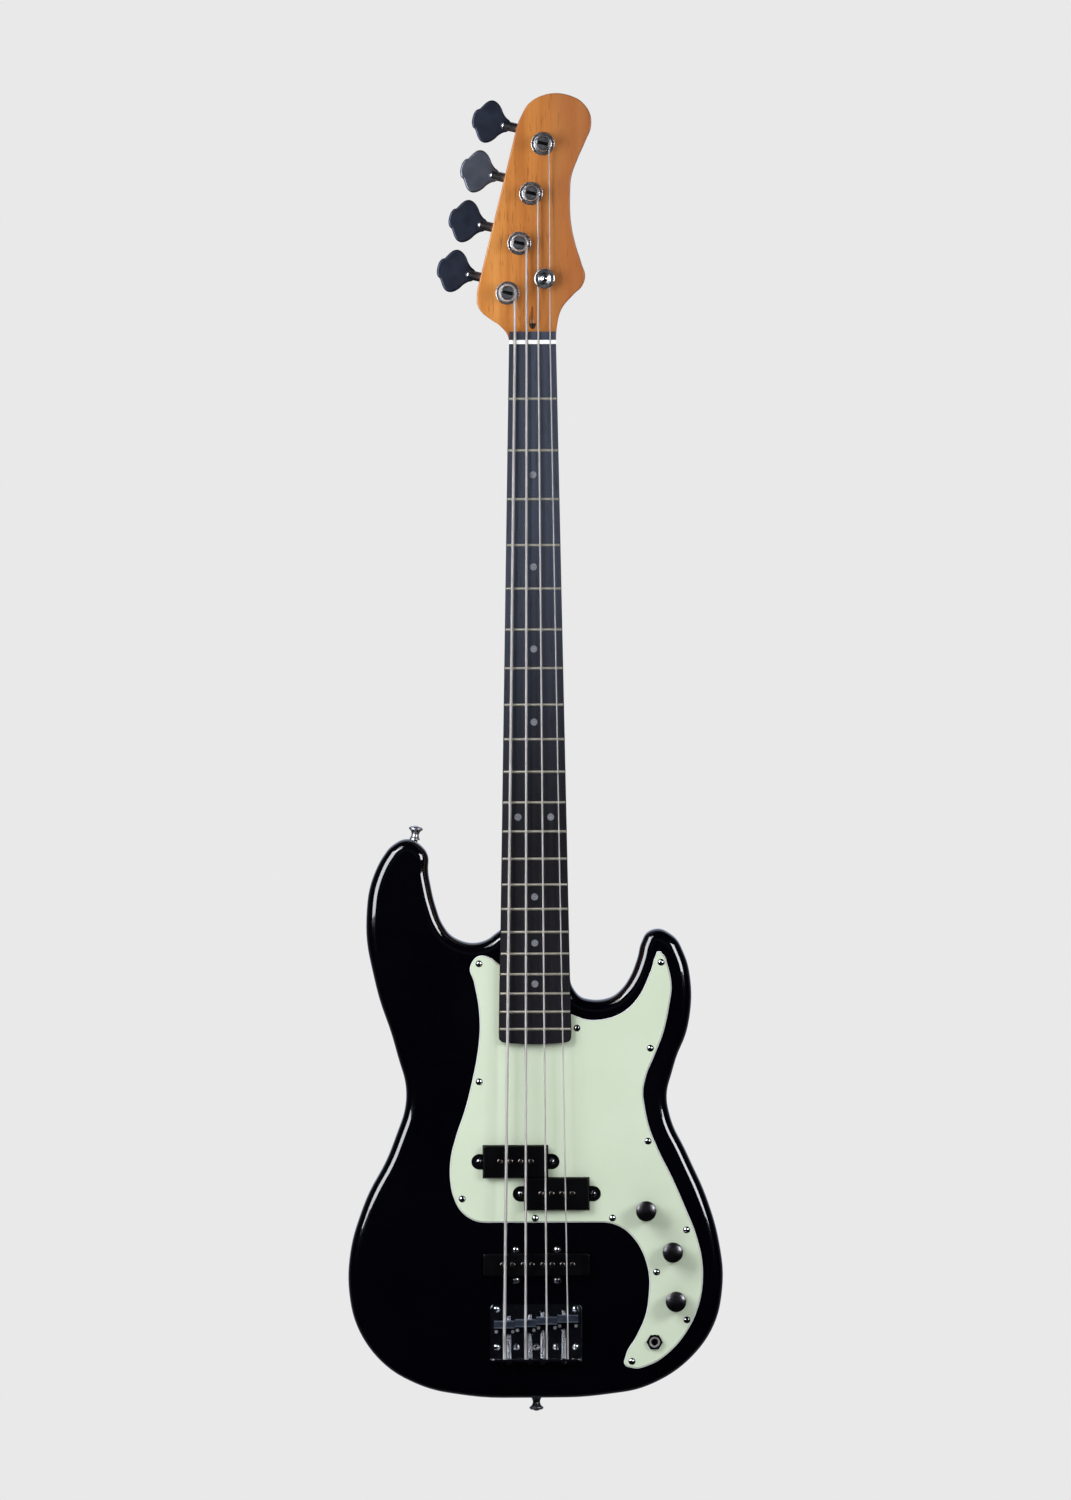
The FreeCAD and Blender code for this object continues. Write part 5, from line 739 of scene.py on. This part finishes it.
def dome_tree():
    """A low round cap on the point, crowned along the point's direction."""
    t = Tree("round_cap", ("Cap radius", "Cap height"))
    ball = t.add("GeometryNodeMeshUVSphere", None, {"Segments": 24, "Rings": 16, "Radius": 1.0})
    x, y, z = t.axes(t.add("GeometryNodeInputPosition"))
    radius = t.size("Cap radius")
    crown = t.math("MAXIMUM", z, 0.0) * t.size("Cap height")
    cap = t.add("GeometryNodeSetPosition", None,
                {"Geometry": ball, "Position": t.vector(x * radius, y * radius, crown)})
    t.close(cap, t.facing("Z"))
    return t


SCREWS = screw_tree()
SPRINGS = coil_tree("coil_spring")
THREADS = coil_tree("screw_thread")
KNURLS = knurl_tree()
SOCKETS = socket_tree()
DOMES = dome_tree()


def cross_head_screws(name, body):
    """Screws with a cross recess, in the places and sizes of a CAD node's plain ones."""
    found = [screw_sizes(corners) for corners in solids(name)]
    places, ways, heads, rises, shanks, lengths = zip(*found)
    piece = SCREWS.grow("cross_head_" + name, places, ways, "steel", {
        "Head radius": heads[0], "Head height": rises[0], "Shank radius": shanks[0], "Length": lengths[0]})
    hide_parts(name)
    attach(piece, body)


def springs_and_threads():
    """The coil spring and the thread on the length screw behind each saddle."""
    spring_turns = 14.0
    spring_wire = 0.3 * MM
    thread_pitch = 0.7 * MM
    thread_wire = 0.2 * MM
    screws = sorted(solids("intonation_screws"), key=lambda corners: corners[:, 0].min())
    coils = sorted(solids("intonation_springs"), key=lambda corners: corners[:, 0].min())
    for string, screw, coil in zip(STRINGS, screws, coils):
        low, high = coil.min(axis=0), coil.max(axis=0)
        x, y = (low[0] + high[0]) / 2, (low[1] + high[1]) / 2
        start = Vector((x, y, low[2] + spring_wire))
        reach = high[2] - low[2] - 2 * spring_wire
        spring = SPRINGS.grow("saddle_spring_" + string, [start], [UP], "chrome", {
            "Turns": spring_turns, "Coil radius": (high[0] - low[0]) / 2 - spring_wire,
            "Wire radius": spring_wire, "Length": reach}, smooth_degrees=80)
        start + UP * reach
        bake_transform(spring)
        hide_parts("intonation_springs")
        shank = screw[screw[:, 2] > low[2]]
        radius = (shank[:, 0].max() - shank[:, 0].min()) / 2
        run = shank[:, 2].max() - low[2] - thread_pitch
        thread = THREADS.grow("length_screw_thread_" + string, [start], [UP], "steel", {
            "Turns": run / thread_pitch, "Coil radius": radius,
            "Wire radius": thread_wire, "Length": run}, smooth_degrees=80)
        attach(thread, "instrument")


def knob_knurls(name):
    """A band of fine ribs round the straight part of a knob, below its domed top."""
    ribs = 72
    rib = 0.3 * MM
    dome = 3.4 * MM
    low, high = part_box(name)
    middle = (low + high) / 2
    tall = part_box("pickguard")[0].y - low.y - 2 * dome
    centre = Vector((middle.x, low.y + dome + tall / 2, middle.z))
    band = KNURLS.grow(name + "_knurl", [centre], [FRONT], "chrome", {
        "Ribs": ribs, "Band radius": (high.x - low.x) / 2 - rib / 3,
        "Rib radius": rib, "Band height": tall}, smooth_degrees=20)
    band.data.materials[0] = OWN_FINISHES[name]
    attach(band, name)


def height_screw_sockets(string):
    """A socket cap on each of the two height screws of a saddle."""
    cap_height = 0.45 * MM
    name = "saddle_" + string
    block = max(solids(name), key=len)
    grubs = [corners for corners in solids(name) if np.ptp(corners[:, 0]) < np.ptp(block[:, 0]) / 2]
    tops = [front_centre(corners) for corners in grubs]
    caps = SOCKETS.grow("height_screw_sockets_" + string, tops, [FRONT] * len(tops), "steel",
                        {"Cap radius": np.ptp(grubs[0][:, 0]) / 2, "Cap height": cap_height})
    caps.data.materials[0] = SATIN_STEEL
    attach(caps, name)


def pole_tips(kind):
    """A rounded tip on each pole piece of a pickup."""
    tip_height = 0.5 * MM
    poles = solids(kind + "_pickup_poles")
    tops = [front_centre(corners) for corners in poles]
    tips = DOMES.grow(kind + "_pole_tips", tops, [FRONT] * len(tops), "pole_steel",
                      {"Cap radius": np.ptp(poles[0][:, 0]) / 2, "Cap height": tip_height},
                      smooth_degrees=60)
    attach(tips, kind + "_pickup")


for set_name in ("pickguard_screws", "bridge_screws", "tuner_screws", "neck_screws", "strap_button_screws",
                 "retainer_screw"):
    cross_head_screws(set_name, "instrument")
for kind in PICKUPS:
    cross_head_screws(kind + "_pickup_screws", kind + "_pickup")
    pole_tips(kind)
springs_and_threads()
for knob in KNOBS:
    knob_knurls(knob)
for string_name in STRINGS:
    height_screw_sockets(string_name)


# Foam pads under the pickups


def foam_pads():
    """Soft blocks with crowned faces and sides that pull in, in place of the plain pads."""
    cuts = 9
    pull = 0.06
    shape = bmesh.new()
    for corners in solids("pickup_foam_pads"):
        low, high = Vector(corners.min(axis=0)), Vector(corners.max(axis=0))
        middle, half = (low + high) / 2, (high - low) / 2
        done = len(shape.verts)
        block = bmesh.ops.create_cube(shape, size=2.0)["verts"]
        edges = list({edge for corner in block for edge in corner.link_edges})
        bmesh.ops.subdivide_edges(shape, edges=edges, cuts=cuts, use_grid_fill=True)
        for corner in list(shape.verts)[done:]:
            u = corner.co.copy()
            squeeze = [1 - pull * (u[(k + 1) % 3] ** 4 + u[(k + 2) % 3] ** 4) / 2 for k in range(3)]
            corner.co = middle + Vector([half[k] * u[k] * squeeze[k] for k in range(3)])
    mesh = bpy.data.meshes.new("pickup_foam")
    shape.to_mesh(mesh)
    shape.free()
    mesh.materials.append(FINISHES["foam"])
    mesh.shade_smooth()
    pads = bpy.data.objects.new("pickup_foam", mesh)
    bpy.context.scene.collection.objects.link(pads)
    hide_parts("pickup_foam_pads")
    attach(pads, "instrument")


foam_pads()


# Stage

PALE = srgb(233, 233, 233)
OVERHEAD = srgb(206, 215, 235)
DARK_ROOM = srgb(10, 11, 16)
DIM_BACK = srgb(84, 86, 92)
FILL = srgb(131, 131, 131)
COOL = (0.96, 0.98, 1.04)


def pale_floor():
    """A round floor below the hanging instrument, which fades out into the backdrop."""
    drop = 0.3
    radius = 1.45
    sides = 64
    solid_share = 0.5
    centre = (CAD_BOX[0] + CAD_BOX[1]) / 2
    shape = bmesh.new()
    bmesh.ops.create_circle(shape, cap_ends=True, segments=sides, radius=radius)
    mesh = bpy.data.meshes.new("floor")
    shape.to_mesh(mesh)
    shape.free()
    floor = bpy.data.objects.new("floor", mesh)
    floor.location = (centre.x, centre.y, CAD_BOX[0].z - drop)
    floor.visible_glossy = False
    bpy.context.scene.collection.objects.link(floor)
    f = Finish("pale_floor", {"Roughness": 0.8, "Specular IOR Level": 0.1})
    x, y, _ = f.axes(f.spot)
    away = f.math("SQRT", x * x + y * y)
    f.feed({"Base Color": f.ramp(f.noise(3.0), (0.3, PALE), (0.7, srgb(236, 236, 236)))})
    solid = Link(f, f.shader)
    clear = f.add("ShaderNodeBsdfTransparent")
    faded = f.fade(away, radius * solid_share, radius)
    blended = f.add("ShaderNodeMixShader", None, {0: faded, 1: solid, 2: clear})
    f.add("ShaderNodeOutputMaterial", {"is_active_output": True}, {"Surface": blended})
    mesh.materials.append(f.material)


def studio_world():
    """The eye sees a pale backdrop; gloss mirrors a room, dark in front, grey behind, bright above."""
    grey_from, grey_to = 0.1, 0.8
    bright_from, bright_to = 0.75, 1.05
    upward_share = 0.6
    world = bpy.data.worlds.new("studio")
    world.use_nodes = True
    bpy.context.scene.world = world
    g = Graph(world.node_tree)
    world.node_tree.nodes.clear()
    path = g.add("ShaderNodeLightPath")
    _, y, z = g.axes(g.add("ShaderNodeTexCoord", None, None, "Generated"))
    room = g.mix(g.fade(y, grey_from, grey_to), DARK_ROOM, DIM_BACK)
    mirrored = g.mix(g.fade(y + z * upward_share, bright_from, bright_to), room, OVERHEAD)
    light = g.mix(path.other("Is Glossy Ray"), FILL, mirrored)
    seen = g.math("MAXIMUM", path.other("Is Camera Ray"), path.other("Is Transmission Ray"))
    glow = g.add("ShaderNodeBackground", None, {"Color": g.mix(seen, light, PALE)})
    g.add("ShaderNodeOutputWorld", None, {"Surface": glow})


def softbox(name, place, aim, wide, tall, watts, tint=(1.0, 1.0, 1.0)):
    """A rectangular lamp that shines from its place towards its aim."""
    lamp = bpy.data.lights.new(name, "AREA")
    lamp.shape = "RECTANGLE"
    lamp.size = wide
    lamp.size_y = tall
    lamp.energy = watts
    lamp.color = tint
    lit = bpy.data.objects.new(name, lamp)
    lit.location = place
    lit.rotation_euler = (Vector(aim) - Vector(place)).to_track_quat("-Z", "Y").to_euler()
    lit.visible_camera = False
    bpy.context.scene.collection.objects.link(lit)


def studio_lights():
    """Two boxes draw the highlights along the body's edges, one from above and a faint one fill in."""
    softbox("left_box", (-0.95, -0.85, -0.02), (0.0, 0.0, -0.4),
            wide=0.7, tall=0.95, watts=17.0, tint=COOL)
    softbox("right_box", (1.65, -1.5, 0.1), (0.0, 0.0, -0.6),
            wide=0.9, tall=0.9, watts=24.0, tint=COOL)
    softbox("high_left_box", (-1.4, -2.0, 1.6), (0.0, 0.0, -0.3),
            wide=1.0, tall=1.0, watts=12.0)
    softbox("front_glow", (0.0, -4.7, 0.4), (0.0, 0.0, 0.4),
            wide=2.4, tall=1.2, watts=0.35, tint=(0.72, 0.84, 1.0))


def front_camera():
    """Square to the front, far off, with the slight lean of the photograph."""
    distance = 20.0
    seen_height = 1.3293
    lean_degrees = 0.211
    centre_x, centre_z = 0.0013, -0.3596
    lens = bpy.data.cameras.new("front")
    lens.sensor_width = 36.0
    lens.lens = lens.sensor_width * distance / seen_height
    camera = bpy.data.objects.new("front", lens)
    camera.location = (centre_x, -distance, centre_z)
    camera.rotation_euler = (math.pi / 2, math.radians(lean_degrees), 0.0)
    bpy.context.scene.collection.objects.link(camera)
    bpy.context.scene.camera = camera


pale_floor()
studio_world()
studio_lights()
front_camera()
bpy.context.scene.view_settings.view_transform = "Standard"
